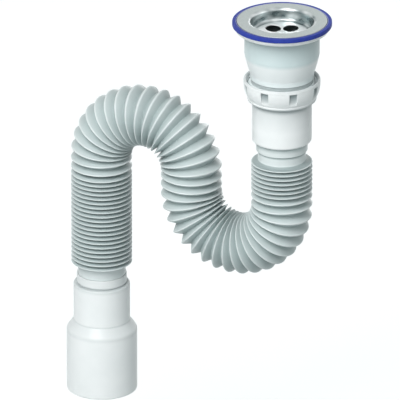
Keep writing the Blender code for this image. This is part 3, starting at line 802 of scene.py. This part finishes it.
FLANGE_SHADOW = 0.52
FLANGE_SHADOW_HEIGHT = 0.0150
thread_root = THREAD_RADIUS - THREAD_DEPTH
print("body from", BODY_TOP * 1000, "to", round(BODY_LOW * 1000, 1), "mm")

# %% Outlet body shell


def threaded(heights, angles, root, depth, top, low, phase=0.0):
    """Radius root plus depth times the tooth, on a right-hand screw, faded in over a millimetre at each end."""
    wave = thread_wave(heights[:, None] / THREAD_PITCH - angles / math.tau + phase)
    fade = np.clip(np.minimum(top - heights, heights - low) / 0.001, 0, 1)[:, None]
    radius = root + depth * wave * fade
    return np.dstack([radius, np.repeat(heights[:, None], len(angles), axis=1)])


bore = BODY_NECK_RADIUS - BODY_WALL
shell_bore = BODY_RADIUS - BODY_WALL
body_upper = outline([
    (shell_bore, TAPER_TOP),
    (shell_bore, BODY_TOP, 0.0003),
    (BODY_FLANGE_RADIUS, BODY_TOP, 0.0004),
    (BODY_FLANGE_RADIUS, BODY_FLANGE_LOW + BODY_FLANGE_HEIGHT / 2, 0.0008),
    (BODY_FLANGE_RADIUS - BODY_FLANGE_HEIGHT / 3, BODY_FLANGE_LOW, 0.0003),
    (BODY_RADIUS, BODY_FLANGE_LOW, 0.0010),
    (BODY_RADIUS, TAPER_TOP),
])
body_neck = outline([
    (BODY_NECK_RADIUS, CONE_LOW),
    (BODY_NECK_RADIUS, THREAD_TOP + RELIEF_HEIGHT, 0.0003),
    (RELIEF_RADIUS, THREAD_TOP + RELIEF_HEIGHT - 0.0004, 0.0003),
    (RELIEF_RADIUS, THREAD_TOP + 0.0003, 0.0004),
    (thread_root, THREAD_TOP, 0.0003),
    (thread_root, THREAD_TOP - 0.0002),
])
body_foot = outline([
    (thread_root, BODY_LOW + 0.0006),
    (thread_root, BODY_LOW, 0.0003),
    (bore, BODY_LOW, 0.0003),
    (bore, TAPER_LOW),
])
share = np.linspace(0, 1, 25)
outer_taper = np.stack(
    [
        BODY_RADIUS + (BODY_NECK_RADIUS - BODY_RADIUS) * share + TAPER_BELLY * np.sin(math.pi * share),
        TAPER_TOP + (CONE_LOW - TAPER_TOP) * share,
    ],
    axis=1,
)
inner_barrel = barrel(shell_bore, bore, TAPER_TOP, TAPER_LOW)[::-1]
body_angles = around(160)
thread_heights = np.linspace(THREAD_TOP - 0.0003, BODY_LOW + 0.0007, 58)
body_thread = threaded(thread_heights, body_angles, thread_root, THREAD_DEPTH, THREAD_TOP, BODY_LOW)
body_rows = [spread(path, body_angles) for path in (body_upper, outer_taper[1:-1], body_neck)]
body_rows += [body_thread] + [spread(path, body_angles) for path in (body_foot, inner_barrel[1:-1])]
shell = turned(np.concatenate(body_rows), body_angles)
below_flange = BODY_FLANGE_LOW - shell[..., 2]
shell_shade = FLANGE_SHADOW * np.clip(1 - below_flange / FLANGE_SHADOW_HEIGHT, 0, 1) * (below_flange > 0)
shell_grids = [(shell, True, True)]
make_piece("body_shell", shell_grids, body_white, "waste", "outlet_body", sharp=40, values=shell_shade)

# %% [markdown]
# ## Boss and ribs
# Across the body's bore a round boss stands on four ribs, and the water flows between them. The brass
# insert sits in a hexagon pocket in the boss, and the screw pulls the strainer down on the seal with it.

# %% Boss and ribs in the body
BOSS_RADIUS = 0.0078
BOSS_HEIGHT = 0.0140
RIBS = 4
RIB_WIDTH = 0.0024
RIB_HEIGHT = 0.0100
RIB_IN_BOSS = 0.0010  # how far a rib's ends lie in the boss and in the shell's wall
RIB_IN_WALL = 0.0008
INSERT_FLAT = 0.0050
INSERT_HEIGHT = 0.0050
BOSS_TOP = CUP_FLOOR - SHEET - GAP
BOSS_LOW = BOSS_TOP - BOSS_HEIGHT
pocket_top = BOSS_LOW + INSERT_HEIGHT + GAP


def boss_grid(angles):
    """A tube whose lower bore is a hexagon: its radius is the flat's distance over the cosine to that flat."""
    way = SHANK_RADIUS + GAP
    hexagon = (INSERT_FLAT + GAP) / np.cos(angles % (math.pi / 3) - math.pi / 6)
    outside = outline([
        (way, BOSS_TOP - 0.003),
        (way, BOSS_TOP),
        (BOSS_RADIUS, BOSS_TOP, 0.0005),
        (BOSS_RADIUS, BOSS_LOW, 0.0005),
        (BOSS_RADIUS - 0.001, BOSS_LOW),
    ])
    pocket = spread(np.array([(0.0, BOSS_LOW), (0.0, BOSS_LOW + 0.0002), (0.0, pocket_top)]), angles)
    pocket[..., 0] = hexagon
    inner = spread(np.array([(way, pocket_top)]), angles)
    return turned(np.concatenate([spread(outside, angles), pocket, inner]), angles)


def rib_grid(number):
    """A rib: an upright slab with rounded lower edge, from inside the boss to inside the shell's wall."""
    half, top = RIB_WIDTH / 2, BOSS_LOW + RIB_HEIGHT
    slab = outline([
        (0, top),
        (half, top, 0.0003),
        (half, BOSS_LOW, 0.0006),
        (-half, BOSS_LOW, 0.0006),
        (-half, top, 0.0003),
        (0, top),
    ])[:-1]
    reach = np.repeat([BOSS_RADIUS - RIB_IN_BOSS, shell_bore + RIB_IN_WALL], 2)
    size = np.array([0.0, 1.0, 1.0, 0.0])[:, None]  # each end is closed by a row of size 0
    middle = BOSS_LOW + RIB_HEIGHT / 2
    side, height = slab[:, 0] * size, middle + (slab[:, 1] - middle) * size
    angle = math.tau * number / RIBS
    x = reach[:, None] * math.cos(angle) - side * math.sin(angle)
    y = reach[:, None] * math.sin(angle) + side * math.cos(angle)
    return np.dstack([x, y, height])[:, ::-1]


boss_grids = [(boss_grid(around(96)), True, True)]
boss_grids += [(rib_grid(number), False, True) for number in range(RIBS)]
make_piece("boss_and_ribs", boss_grids, body_white, "waste", "outlet_body", sharp=35)

# %% [markdown]
# ## Union nut, its seal and the cuff
# The nut is a cup with eight grip notches. A notch has a flat floor, sharp upper and side edges, and runs
# out at the bottom where the nut narrows. So the nut's radius is a function of height and angle: the
# outline, or the notch's floor where that is smaller. Columns stand close together at the notches' sides.
# Its mouth is countersunk, and its foot closes on the cuff. Both get painted shade, as do the rim round
# the mouth and the notches.

# %% Union nut sizes
UNION_SEAL_HEIGHT = 0.0022
UNION_SEAL_WIDTH = 0.0042
CUFF_FLANGE_HEIGHT = 0.0022
CUFF_RADIUS = 0.0210
CUFF_WALL = 0.0020
CUFF_LENGTH = 0.0341
CUFF_LIP_LENGTH = 0.0040
CUFF_ROUND = 0.0026
NUT_RADIUS = 0.0270
NUT_HEIGHT = 0.0176
NUT_FLOOR = 0.0016
NUT_BELLY_DROP = 0.0030
NOTCHES = 8
NOTCH_HALF = 0.00275
NOTCH_FLOOR_RADIUS = 0.0251
NOTCH_DROP = 0.0032
NOTCH_TURN = math.radians(-2.6)
NOTCH_SIDE_WIDTH = 0.009  # how wide a notch's steep side is, in radians, and how high its upper one, in metres
NOTCH_EDGE_HEIGHT = 0.0002
UNION_SEAL_TOP = BODY_LOW - GAP
CUFF_TOP = UNION_SEAL_TOP - UNION_SEAL_HEIGHT - GAP
CUFF_LOW = CUFF_TOP - CUFF_LENGTH
NUT_FLOOR_TOP = CUFF_TOP - CUFF_FLANGE_HEIGHT - GAP
NUT_LOW = NUT_FLOOR_TOP - NUT_FLOOR
NUT_TOP = NUT_LOW + NUT_HEIGHT
NOTCH_TOP = NUT_TOP - NOTCH_DROP
NUT_FOOT_WIDTH = 0.0010  # the foot closes on the cuff, so its end is hardly wider than the gap
MOUTH_SHADE, RIM_SHADE = 0.95, 0.35  # in the nut's countersunk mouth and on the rim round it
FOOT_SHADES = [(0.0, 0.75), (0.0016, 0.62), (0.0034, 0.0)]  # height above the foot and shade there
nut_bore = THREAD_RADIUS + 0.0004
print("nut from", round(NUT_TOP * 1000, 1), "to", round(NUT_LOW * 1000, 1), "mm")

# %% Union nut


def notch_angles():
    """Angles all round, with lines close to each side of each notch."""
    edge = math.asin(NOTCH_HALF / (NUT_RADIUS - 0.001))
    near = np.array([-0.016, -0.0045, 0.0, 0.0045, 0.016])
    inside = np.linspace(-edge + 0.03, edge - 0.03, 7)
    outside = np.linspace(edge + 0.03, math.tau / NOTCHES - edge - 0.03, 15)
    one = np.sort(np.concatenate([near - edge, inside, near + edge, outside]))
    return (one + math.tau / NOTCHES * np.arange(NOTCHES)[:, None]).ravel(), edge


def nut_outer(path, angles, edge):
    """Radius of the outline less how deep a notch is there, and that depth.

    The depth is what the outline has more than the notch's flat floor, times a mask for the angle and one
    for the height. The floor's radius is its distance over the cosine of the angle from its middle.
    """
    radius, height = path[:, :1], path[:, 1:]
    away = (angles + math.pi / NOTCHES) % (math.tau / NOTCHES) - math.pi / NOTCHES
    flat = NOTCH_FLOOR_RADIUS / np.cos(away)
    across = np.clip((edge - np.abs(away)) / NOTCH_SIDE_WIDTH + 0.5, 0, 1)
    upright = np.clip((NOTCH_TOP - height) / NOTCH_EDGE_HEIGHT + 0.5, 0, 1)
    cut = np.maximum(radius - flat, 0) * across * upright
    return np.dstack([radius - cut, np.repeat(height, len(angles), axis=1)]), cut


nut_angles, notch_edge = notch_angles()
shoulder = NUT_TOP - NUT_BELLY_DROP
foot = CUFF_RADIUS + NUT_FOOT_WIDTH
nut_top_path = outline([
    (nut_bore, NUT_TOP - 0.0022),
    (nut_bore, NUT_TOP - 0.0020, 0.0002),
    (NUT_RADIUS - 0.0007, NUT_TOP - 0.0005, 0.0003),
    (NUT_RADIUS, NUT_TOP - 0.0013, 0.0010),
    (NUT_RADIUS, shoulder),
], steps=10)
belly = barrel(NUT_RADIUS, foot, shoulder, NUT_LOW, steps=60)[1:-1]
near_top = NOTCH_TOP + np.array([0.0004, 0.0001, 0.0, -0.0001, -0.0004])
kept = belly[np.abs(belly[:, 1] - NOTCH_TOP) > 0.0005]
extra = np.stack([np.interp(-near_top, -belly[:, 1], belly[:, 0]), near_top], axis=1)
belly = np.vstack([kept, extra])
belly = belly[np.argsort(-belly[:, 1])]
nut_floor_path = outline([
    belly[-1],
    (foot, NUT_LOW, 0.0002),
    (CUFF_RADIUS + GAP, NUT_LOW, 0.0003),
    (CUFF_RADIUS + GAP, NUT_FLOOR_TOP, 0.0003),
    (nut_bore, NUT_FLOOR_TOP, 0.0003),
    (nut_bore, NUT_FLOOR_TOP + 0.0012),
])[1:]
nut_thread_top, nut_thread_low = NUT_TOP - 0.0025, NUT_FLOOR_TOP + 0.0014
nut_heights = np.linspace(nut_thread_low + 0.0001, nut_thread_top - 0.0001, 80)
nut_thread = threaded(nut_heights, nut_angles, nut_bore, -THREAD_DEPTH, nut_thread_top, nut_thread_low, 0.5)
nut_side, notch_depth = nut_outer(belly, nut_angles, notch_edge)
nut_rows = [spread(nut_top_path, nut_angles), nut_side, spread(nut_floor_path, nut_angles), nut_thread]
nut_grid = turned(np.concatenate(nut_rows), nut_angles + NOTCH_TURN)
print("nut:", nut_grid.shape[0], "rows of", nut_grid.shape[1], "points")

# %% Shade of the nut
nut_radii, nut_drop = np.hypot(nut_grid[..., 0], nut_grid[..., 1]), NUT_TOP - nut_grid[..., 2]
nut_shade = np.where(nut_drop < 0.0014, RIM_SHADE, 0.0)
nut_shade[(nut_drop < 0.0024) & (nut_radii < NUT_RADIUS - 0.0011)] = MOUTH_SHADE
nut_shade += np.interp(nut_grid[..., 2] - NUT_LOW, *np.array(FOOT_SHADES).T)
# Painted shade in the notches, darker the deeper they are cut.
nut_shade[len(nut_top_path) :][: len(belly)] += notch_depth / (NUT_RADIUS - NOTCH_FLOOR_RADIUS)
make_piece("notched_union_nut", [(nut_grid, True, True)], white, "nut", "union_nut", sharp=40, values=nut_shade)

# %% Union seal and cuff
NECK_RADIUS = 0.0169
NUT_SHADOWS = (0.55, 0.0030), (0.30, 0.0180)  # shade under the nut, and the height over which it fades
seal_inner = THREAD_RADIUS - UNION_SEAL_WIDTH
seal_low = UNION_SEAL_TOP - UNION_SEAL_HEIGHT
seal_middle = UNION_SEAL_TOP - UNION_SEAL_HEIGHT / 2
union_seal_path = outline([
    (seal_inner, seal_middle),
    (seal_inner, UNION_SEAL_TOP, 0.0004),
    (THREAD_RADIUS, UNION_SEAL_TOP, 0.0004),
    (THREAD_RADIUS, seal_low, 0.0004),
    (seal_inner, seal_low, 0.0004),
    (seal_inner, seal_middle),
])[:-1]
union_seal = turned(union_seal_path, around(128))
make_piece("black_union_seal", [(union_seal, True, True)], black, "seal_ring", "union_seal")

cuff_inner = CUFF_RADIUS - CUFF_WALL
neck_way = NECK_RADIUS + GAP
cuff_path = outline([
    (cuff_inner, CUFF_TOP - 0.004),
    (cuff_inner, CUFF_TOP, 0.0003),
    (THREAD_RADIUS, CUFF_TOP, 0.0003),
    (THREAD_RADIUS, CUFF_TOP - CUFF_FLANGE_HEIGHT, 0.0004),
    (CUFF_RADIUS, CUFF_TOP - CUFF_FLANGE_HEIGHT, 0.0004),
    (CUFF_RADIUS, CUFF_LOW, CUFF_ROUND),
    (neck_way, CUFF_LOW, 0.0003),
    (neck_way, CUFF_LOW + CUFF_LIP_LENGTH, 0.0003),
    (cuff_inner, CUFF_LOW + CUFF_LIP_LENGTH + CUFF_WALL, 0.0008),
    (cuff_inner, CUFF_TOP - 0.0045),
], steps=8)
cuff = turned(finer(cuff_path, 0.0008), around(128))
under_nut = NUT_LOW - cuff[..., 2]
cuff_shade = sum(shade * np.clip(1 - under_nut / height, 0, 1) for shade, height in NUT_SHADOWS)
make_piece("cuff_sleeve", [(cuff, True, True)], white, "tail", "hose_cuff", sharp=40, values=cuff_shade)

# %% [markdown]
# ## Bellows hose
# This is the piece that takes the most skill. The real hose is blown from one tube into rings that can snap
# shut or be pulled open, and it holds whatever bend it is given. Here it is a surface of two numbers:
# the distance along its centre line, and the angle round it. The centre line comes from summing
# its heading, the rings from a wave along it whose pitch is long where the rings are open.

# %% Hose sizes
CREST_RADIUS = 0.0216
ROOT_RADIUS = 0.0168
HOSE_WALL = 0.0005
OPEN_PITCH = 0.00644
CLOSED_PITCH = 0.00339
TOP_CLOSED_RINGS, OPEN_RINGS, LOW_CLOSED_RINGS = 7, 40, 21
BEND_RADIUS = 0.0350
FIRST_RUN = 0.0334
MIDDLE_RUN = 0.0143
BEAD_RADIUS = 0.0182
BEAD_HEIGHT = 0.0074
BEAD_CHAMFER = 0.0010
FIRST_CREST_DROP = 0.0163
TOP_STUB_LENGTH = 0.0120
LOW_NECK_LENGTH = 0.0093
LOW_STUB_RADIUS = 0.0160
LOW_STUB_LENGTH = 0.0100
FIRST_CREST = CUFF_LOW - FIRST_CREST_DROP
HOSE_TOP = CUFF_LOW + TOP_STUB_LENGTH
U_BEND_HEIGHT = FIRST_CREST - FIRST_RUN
TOP_BEND_HEIGHT = U_BEND_HEIGHT + MIDDLE_RUN
OUTLET_X = -4 * BEND_RADIUS

pitches = np.repeat([CLOSED_PITCH, OPEN_PITCH, CLOSED_PITCH], [TOP_CLOSED_RINGS, OPEN_RINGS, LOW_CLOSED_RINGS])
first_crest_at = HOSE_TOP - FIRST_CREST
crests = first_crest_at + np.concatenate([[0], np.cumsum((pitches[:-1] + pitches[1:]) / 2)])
roots = (crests[:-1] + crests[1:]) / 2
collar_at = crests[-1] + LOW_NECK_LENGTH
hose_length = collar_at + LOW_STUB_LENGTH
straight_used = (HOSE_TOP - U_BEND_HEIGHT) + MIDDLE_RUN + math.tau * BEND_RADIUS
HOSE_LOW = TOP_BEND_HEIGHT - (hose_length - straight_used)
print(f"{len(crests)} rings, hose {hose_length * 1000:.1f} mm along its middle")
print(f"low end at {HOSE_LOW * 1000:.1f} mm")

# %% Centre line


def centre_line(distance):
    """Place and heading at each distance along the hose, which lies in the XZ plane.

    The heading starts at -90 degrees, straight down. It falls by the distance divided by the bend radius
    through the U, stays, and rises by as much over the top bend. The place is the sum of short steps,
    each along the cosine and sine of the heading at its middle.
    """
    u_start = HOSE_TOP - U_BEND_HEIGHT
    half_turn = math.pi * BEND_RADIUS
    top_start = u_start + half_turn + MIDDLE_RUN
    fine = np.linspace(0, hose_length, 20001)

    def heading(at):
        in_u, in_top = np.clip(at - u_start, 0, half_turn), np.clip(at - top_start, 0, half_turn)
        return -math.pi / 2 + (in_top - in_u) / BEND_RADIUS

    step = heading((fine[:-1] + fine[1:]) / 2)
    x = np.concatenate([[0], np.cumsum(np.cos(step) * np.diff(fine))])
    z = HOSE_TOP + np.concatenate([[0], np.cumsum(np.sin(step) * np.diff(fine))])
    return np.interp(distance, fine, x), np.interp(distance, fine, z), heading(distance)


def swept(path, angles):
    """Rows of (radius, distance along) carried along the centre line.

    A point is the centre plus the radius times the cosine of its angle along the normal in the plane of
    the bends, and times its sine along Y.
    """
    radius, distance = np.moveaxis(spread(path, angles), -1, 0)
    x, z, heading = centre_line(distance)
    inward, sideways = radius * np.cos(angles), radius * np.sin(angles)
    return np.stack([x - inward * np.sin(heading), sideways, z + inward * np.cos(heading)], axis=-1)


end_x, end_z, end_heading = (float(value) for value in centre_line(np.array(hose_length)))
print(f"hose ends at x {end_x * 1000:.2f} and z {end_z * 1000:.2f} mm")
print(f"heading there: {math.degrees(end_heading):.1f} degrees")

# %% Ring shape
CREST_SOFTNESS = 0.16  # share of a flank that the round of its crest takes
ROOT_SOFTNESS = 0.06


def ring_wave(away):
    """1 on a crest, 0 in a root, where away is 0 on the crest and 1 in the root.

    The fall is a parabola away from the crest, a straight flank, and a parabola into the root.
    """
    crest, root = CREST_SOFTNESS, ROOT_SOFTNESS
    leave = np.minimum(away, crest) ** 2 / (2 * crest)
    flank = np.clip(away - crest, 0, 1 - crest - root)
    arrive = root / 2 - np.clip(1 - away, 0, root) ** 2 / (2 * root)
    return 1 - (leave + flank + arrive) / (1 - crest / 2 - root / 2)


def ring_rows(rings, shares):
    """Distance and wave height of rows over some rings, at shares of each flank between crest and root."""
    crest, before, after = crests[rings, None], ring_before[rings, None], ring_after[rings, None]
    down = crest - (crest - before) * shares[::-1]
    up = crest + (after - crest) * shares[1:-1]
    height = np.concatenate([ring_wave(shares[::-1]), ring_wave(shares[1:-1])])
    return np.concatenate([down, up], axis=1).ravel(), np.tile(height, len(crest))


FINE_SHARES = np.array([0, 0.06, 0.12, 0.19, 0.3, 0.5, 0.75, 0.93, 1.0])
PLAIN_SHARES = np.array([0, 0.2, 1.0])
SPLIT_RING = TOP_CLOSED_RINGS + OPEN_RINGS  # the hose's two pieces meet in the root above this ring
ring_before = np.concatenate([[2 * crests[0] - roots[0]], roots])
ring_after = np.concatenate([roots, [2 * crests[-1] - roots[-1]]])
print("rows on one ring:", 2 * len(FINE_SHARES) - 2)

# %% [markdown]
# The hose is made as two pieces, because its last run pulls long when the spigot is drawn down. That run
# is put on no body here, and the rest rides on the cuff's body. Both keep the wall's thickness: the outer
# rows go down, and plainer inner rows come back up.

# %% Hose pieces
HOSE_SIDES = 96
WALL_ON_SLANT = 1.6
FLANK_START = 0.4  # share of a closed ring's pitch from its crest to where its outer flank meets the neck
FLANK_END = 0.12  # and to where that flank meets the crest's own rows
FLANK_END_DROP = 0.2  # share of the rings' depth that the meeting place lies below the crest
NECK_SHADE = 1.0  # the neck and bead get the crest's painted highlight colour
FIRST_FLANK_SHADE = 0.22  # the flank that rises from the neck lies in shadow
OPEN_SHADE = 0.3  # painted light: the roots of pulled-open rings are painted as pale as their flanks
NECK_SHADES = [
    (0.0, 0.0),  # distance below the bead's top, and shade there
    (0.0008, 0.35),
    (0.0012, 0.88),
    (0.0040, NECK_SHADE),
    (BEAD_HEIGHT - 0.0006, NECK_SHADE),
    (BEAD_HEIGHT, 0.3),
    (BEAD_HEIGHT + 0.0010, NECK_SHADE),
]
depth = CREST_RADIUS - ROOT_RADIUS


def ring_path(rings, shares):
    """Rows of (radius, distance along) and their shade. Radius is the root's plus depth times the wave."""
    distance, height = ring_rows(rings, shares)
    opened = np.repeat((rings >= TOP_CLOSED_RINGS) & (rings < SPLIT_RING), len(height) // len(rings))
    shade = np.where(opened, OPEN_SHADE + (1 - OPEN_SHADE) * height, height)
    return np.stack([ROOT_RADIUS + depth * height, distance], axis=1), shade


def wall_inside(path):
    """The same rows in reverse, moved in by the wall's thickness, and a little more as flanks are slanted."""
    return path[::-1] - np.array([HOSE_WALL * WALL_ON_SLANT, 0.0])


def hose_grid(outer, shades, inner):
    """Outer rows down and inner rows back, and the ring height of each point."""
    angles = around(HOSE_SIDES)
    points = swept(np.concatenate([outer, inner]), angles)
    shades = np.concatenate([shades, np.zeros(len(inner))])
    return (points, True, True), np.repeat(shades[:, None], HOSE_SIDES, axis=1)


bead_top = TOP_STUB_LENGTH + GAP
bead_low = bead_top + BEAD_HEIGHT
first_flank_at = crests[0] - CLOSED_PITCH * FLANK_START
top_neck = outline([
    (NECK_RADIUS, 0),
    (NECK_RADIUS, bead_top, 0.0001),
    (BEAD_RADIUS, bead_top, 0.0003),
    (BEAD_RADIUS, bead_low - BEAD_CHAMFER, 0.0004),
    (NECK_RADIUS, bead_low, 0.0002),
    (NECK_RADIUS, first_flank_at, 0.0030),
    (CREST_RADIUS - depth * FLANK_END_DROP, crests[0] - CLOSED_PITCH * FLANK_END),
])
top_neck = finer(top_neck, 0.0008)
upper_rings, upper_height = ring_path(np.arange(SPLIT_RING), FINE_SHARES)
past_flank = upper_rings[:, 1] > crests[0] - CLOSED_PITCH * (FLANK_END - 0.01)
upper_outer = np.vstack([top_neck, upper_rings[past_flank], [(ROOT_RADIUS, roots[SPLIT_RING - 1])]])
neck_shades = np.interp(top_neck[:, 1] - bead_top, *np.array(NECK_SHADES).T)
neck_shades = np.where(top_neck[:, 1] < first_flank_at - 0.0008, neck_shades, FIRST_FLANK_SHADE)
print(f"bead from {bead_top * 1000:.1f} to {bead_low * 1000:.1f} mm, first ring at {crests[0] * 1000:.1f} mm")
upper_shades = np.concatenate([neck_shades, upper_height[past_flank], [0.0]])
plain_rings, _ = ring_path(np.arange(1, SPLIT_RING), PLAIN_SHARES)
split_root = [(ROOT_RADIUS, roots[SPLIT_RING - 1])]
inner_neck = [(NECK_RADIUS, 0), (NECK_RADIUS, first_flank_at)]
upper_inner = wall_inside(np.vstack([inner_neck, plain_rings, split_root]))
grid, shades = hose_grid(upper_outer, upper_shades, upper_inner)
make_piece("hose_bent_run", [grid], grey, "tail", "hose", sharp=75, values=shades)

# %% Lower run of the hose
last_flank_at = crests[-1] + CLOSED_PITCH * FLANK_START
low_neck = outline([
    (CREST_RADIUS - depth * FLANK_END_DROP, crests[-1] + CLOSED_PITCH * FLANK_END),
    (NECK_RADIUS, last_flank_at, 0.0012),
    (NECK_RADIUS, collar_at, 0.0003),
    (LOW_STUB_RADIUS, collar_at + NECK_RADIUS - LOW_STUB_RADIUS, 0.0003),
    (LOW_STUB_RADIUS, hose_length),
])
lower_rings, lower_height = ring_path(np.arange(SPLIT_RING, len(crests)), FINE_SHARES)
before_flank = lower_rings[:, 1] < crests[-1] + CLOSED_PITCH * (FLANK_END - 0.01)
lower_outer = np.vstack([lower_rings[before_flank], low_neck])
lower_shades = np.concatenate([lower_height[before_flank], np.full(len(low_neck), NECK_SHADE)])
plain_rings, _ = ring_path(np.arange(SPLIT_RING, len(crests) - 1), PLAIN_SHARES)
inner_stub = [(ROOT_RADIUS, roots[-1]), (LOW_STUB_RADIUS, last_flank_at), (LOW_STUB_RADIUS, hose_length)]
lower_inner = wall_inside(np.vstack([plain_rings, inner_stub]))
grid, shades = hose_grid(lower_outer, lower_shades, lower_inner)
lower_run = make_piece("hose_straight_run", [grid], grey, None, "hose", sharp=75, values=shades)


def height_at(distance):
    """Height on the last straight run, which falls by as much as the distance grows."""
    return TOP_BEND_HEIGHT - (distance - straight_used)


run_top = height_at(roots[SPLIT_RING - 1])
height_at(crests[-1])
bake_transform(lower_run)
print(f"lower run from {run_top * 1000:.1f} to {HOSE_LOW * 1000:.1f} mm")

# %% [markdown]
# ## Outlet spigot
# A collar takes the end of the hose. Below it a 40 mm sleeve steps out to a 50 mm one, so that either
# size of waste pipe fits. Its shoulders are rounded as they came from the mould.

# %% Outlet spigot
COLLAR_RADIUS = 0.0177
COLLAR_HEIGHT = 0.0069
SMALL_RADIUS = 0.0200
SMALL_LENGTH = 0.0285
LARGE_RADIUS = 0.0250
LARGE_LENGTH = 0.0462
STEP_HEIGHT = 0.0065
SPIGOT_WALL = 0.0022
SPIGOT_ROUND = 0.0022
collar_top = HOSE_LOW + LOW_STUB_LENGTH - GAP
small_top = collar_top - COLLAR_HEIGHT
small_low = small_top - SMALL_LENGTH
large_top = small_low - STEP_HEIGHT
mouth = large_top - LARGE_LENGTH
stub_way = LOW_STUB_RADIUS + GAP
spigot_path = outline([
    (SMALL_RADIUS - SPIGOT_WALL, small_low),
    (SMALL_RADIUS - SPIGOT_WALL, small_top - SPIGOT_WALL - SPIGOT_ROUND, 0.0008),
    (stub_way, small_top - SPIGOT_WALL, 0.0004),
    (stub_way, collar_top - GAP - (NECK_RADIUS - LOW_STUB_RADIUS), 0.0003),
    (NECK_RADIUS, collar_top, 0.0001),
    (COLLAR_RADIUS, collar_top, 0.0001),
    (COLLAR_RADIUS, small_top + 0.0007, 0.0002),
    (COLLAR_RADIUS - 0.0006, small_top + 0.0007, 0.0002),
    (COLLAR_RADIUS - 0.0006, small_top, 0.0002),
    (SMALL_RADIUS, small_top, SPIGOT_ROUND),
    (SMALL_RADIUS, small_low, 0.0006),
    (LARGE_RADIUS, large_top, STEP_HEIGHT * 0.6),
    (LARGE_RADIUS, mouth, 0.0010),
    (LARGE_RADIUS - SPIGOT_WALL, mouth, 0.0006),
    (LARGE_RADIUS - SPIGOT_WALL, large_top - SPIGOT_WALL, 0.0020),
    (SMALL_RADIUS - SPIGOT_WALL, small_low - SPIGOT_WALL, 0.0006),
    (SMALL_RADIUS - SPIGOT_WALL, small_low - 0.0004),
], steps=8)
spigot = turned(finer(spigot_path, 0.0010), around(128), OUTLET_X)
spigot_shades = [
    (large_top - 0.0030, 0.0),  # height, and shade there: darkest in the grooves above the two shoulders
    (large_top, 0.24),
    (small_low - 0.0006, 0.30),
    (small_low + 0.0002, 0.36),
    (small_low + 0.0009, 0.0),
    (small_top - 0.0030, 0.0),
    (small_top - 0.0008, 0.28),
    (small_top + 0.0006, 0.75),
    (small_top + 0.0012, 0.12),
    (collar_top, 0.12),
]
spigot_shade = np.interp(spigot[..., 2], *np.array(spigot_shades).T)
spigot_grids = [(spigot, True, True)]
make_piece("stepped_spigot", spigot_grids, white, "outlet", "outlet_spigot", sharp=40, values=spigot_shade)

# %% [markdown]
# ## What stays as the frame has it
# The brass insert is a plain hexagon nut in the boss, and its solid is right as it is. It only gets its
# metal.

# %% Insert and sizes
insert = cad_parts["threaded_insert"]
for holder in insert.material_slots:
    holder.material = brass.material

dressed_box = [list(corner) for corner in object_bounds()]
growth = np.array(dressed_box) - np.array(cad_box)
print("visual box less CAD box in mm:", np.round(growth * 1000, 2).tolist())
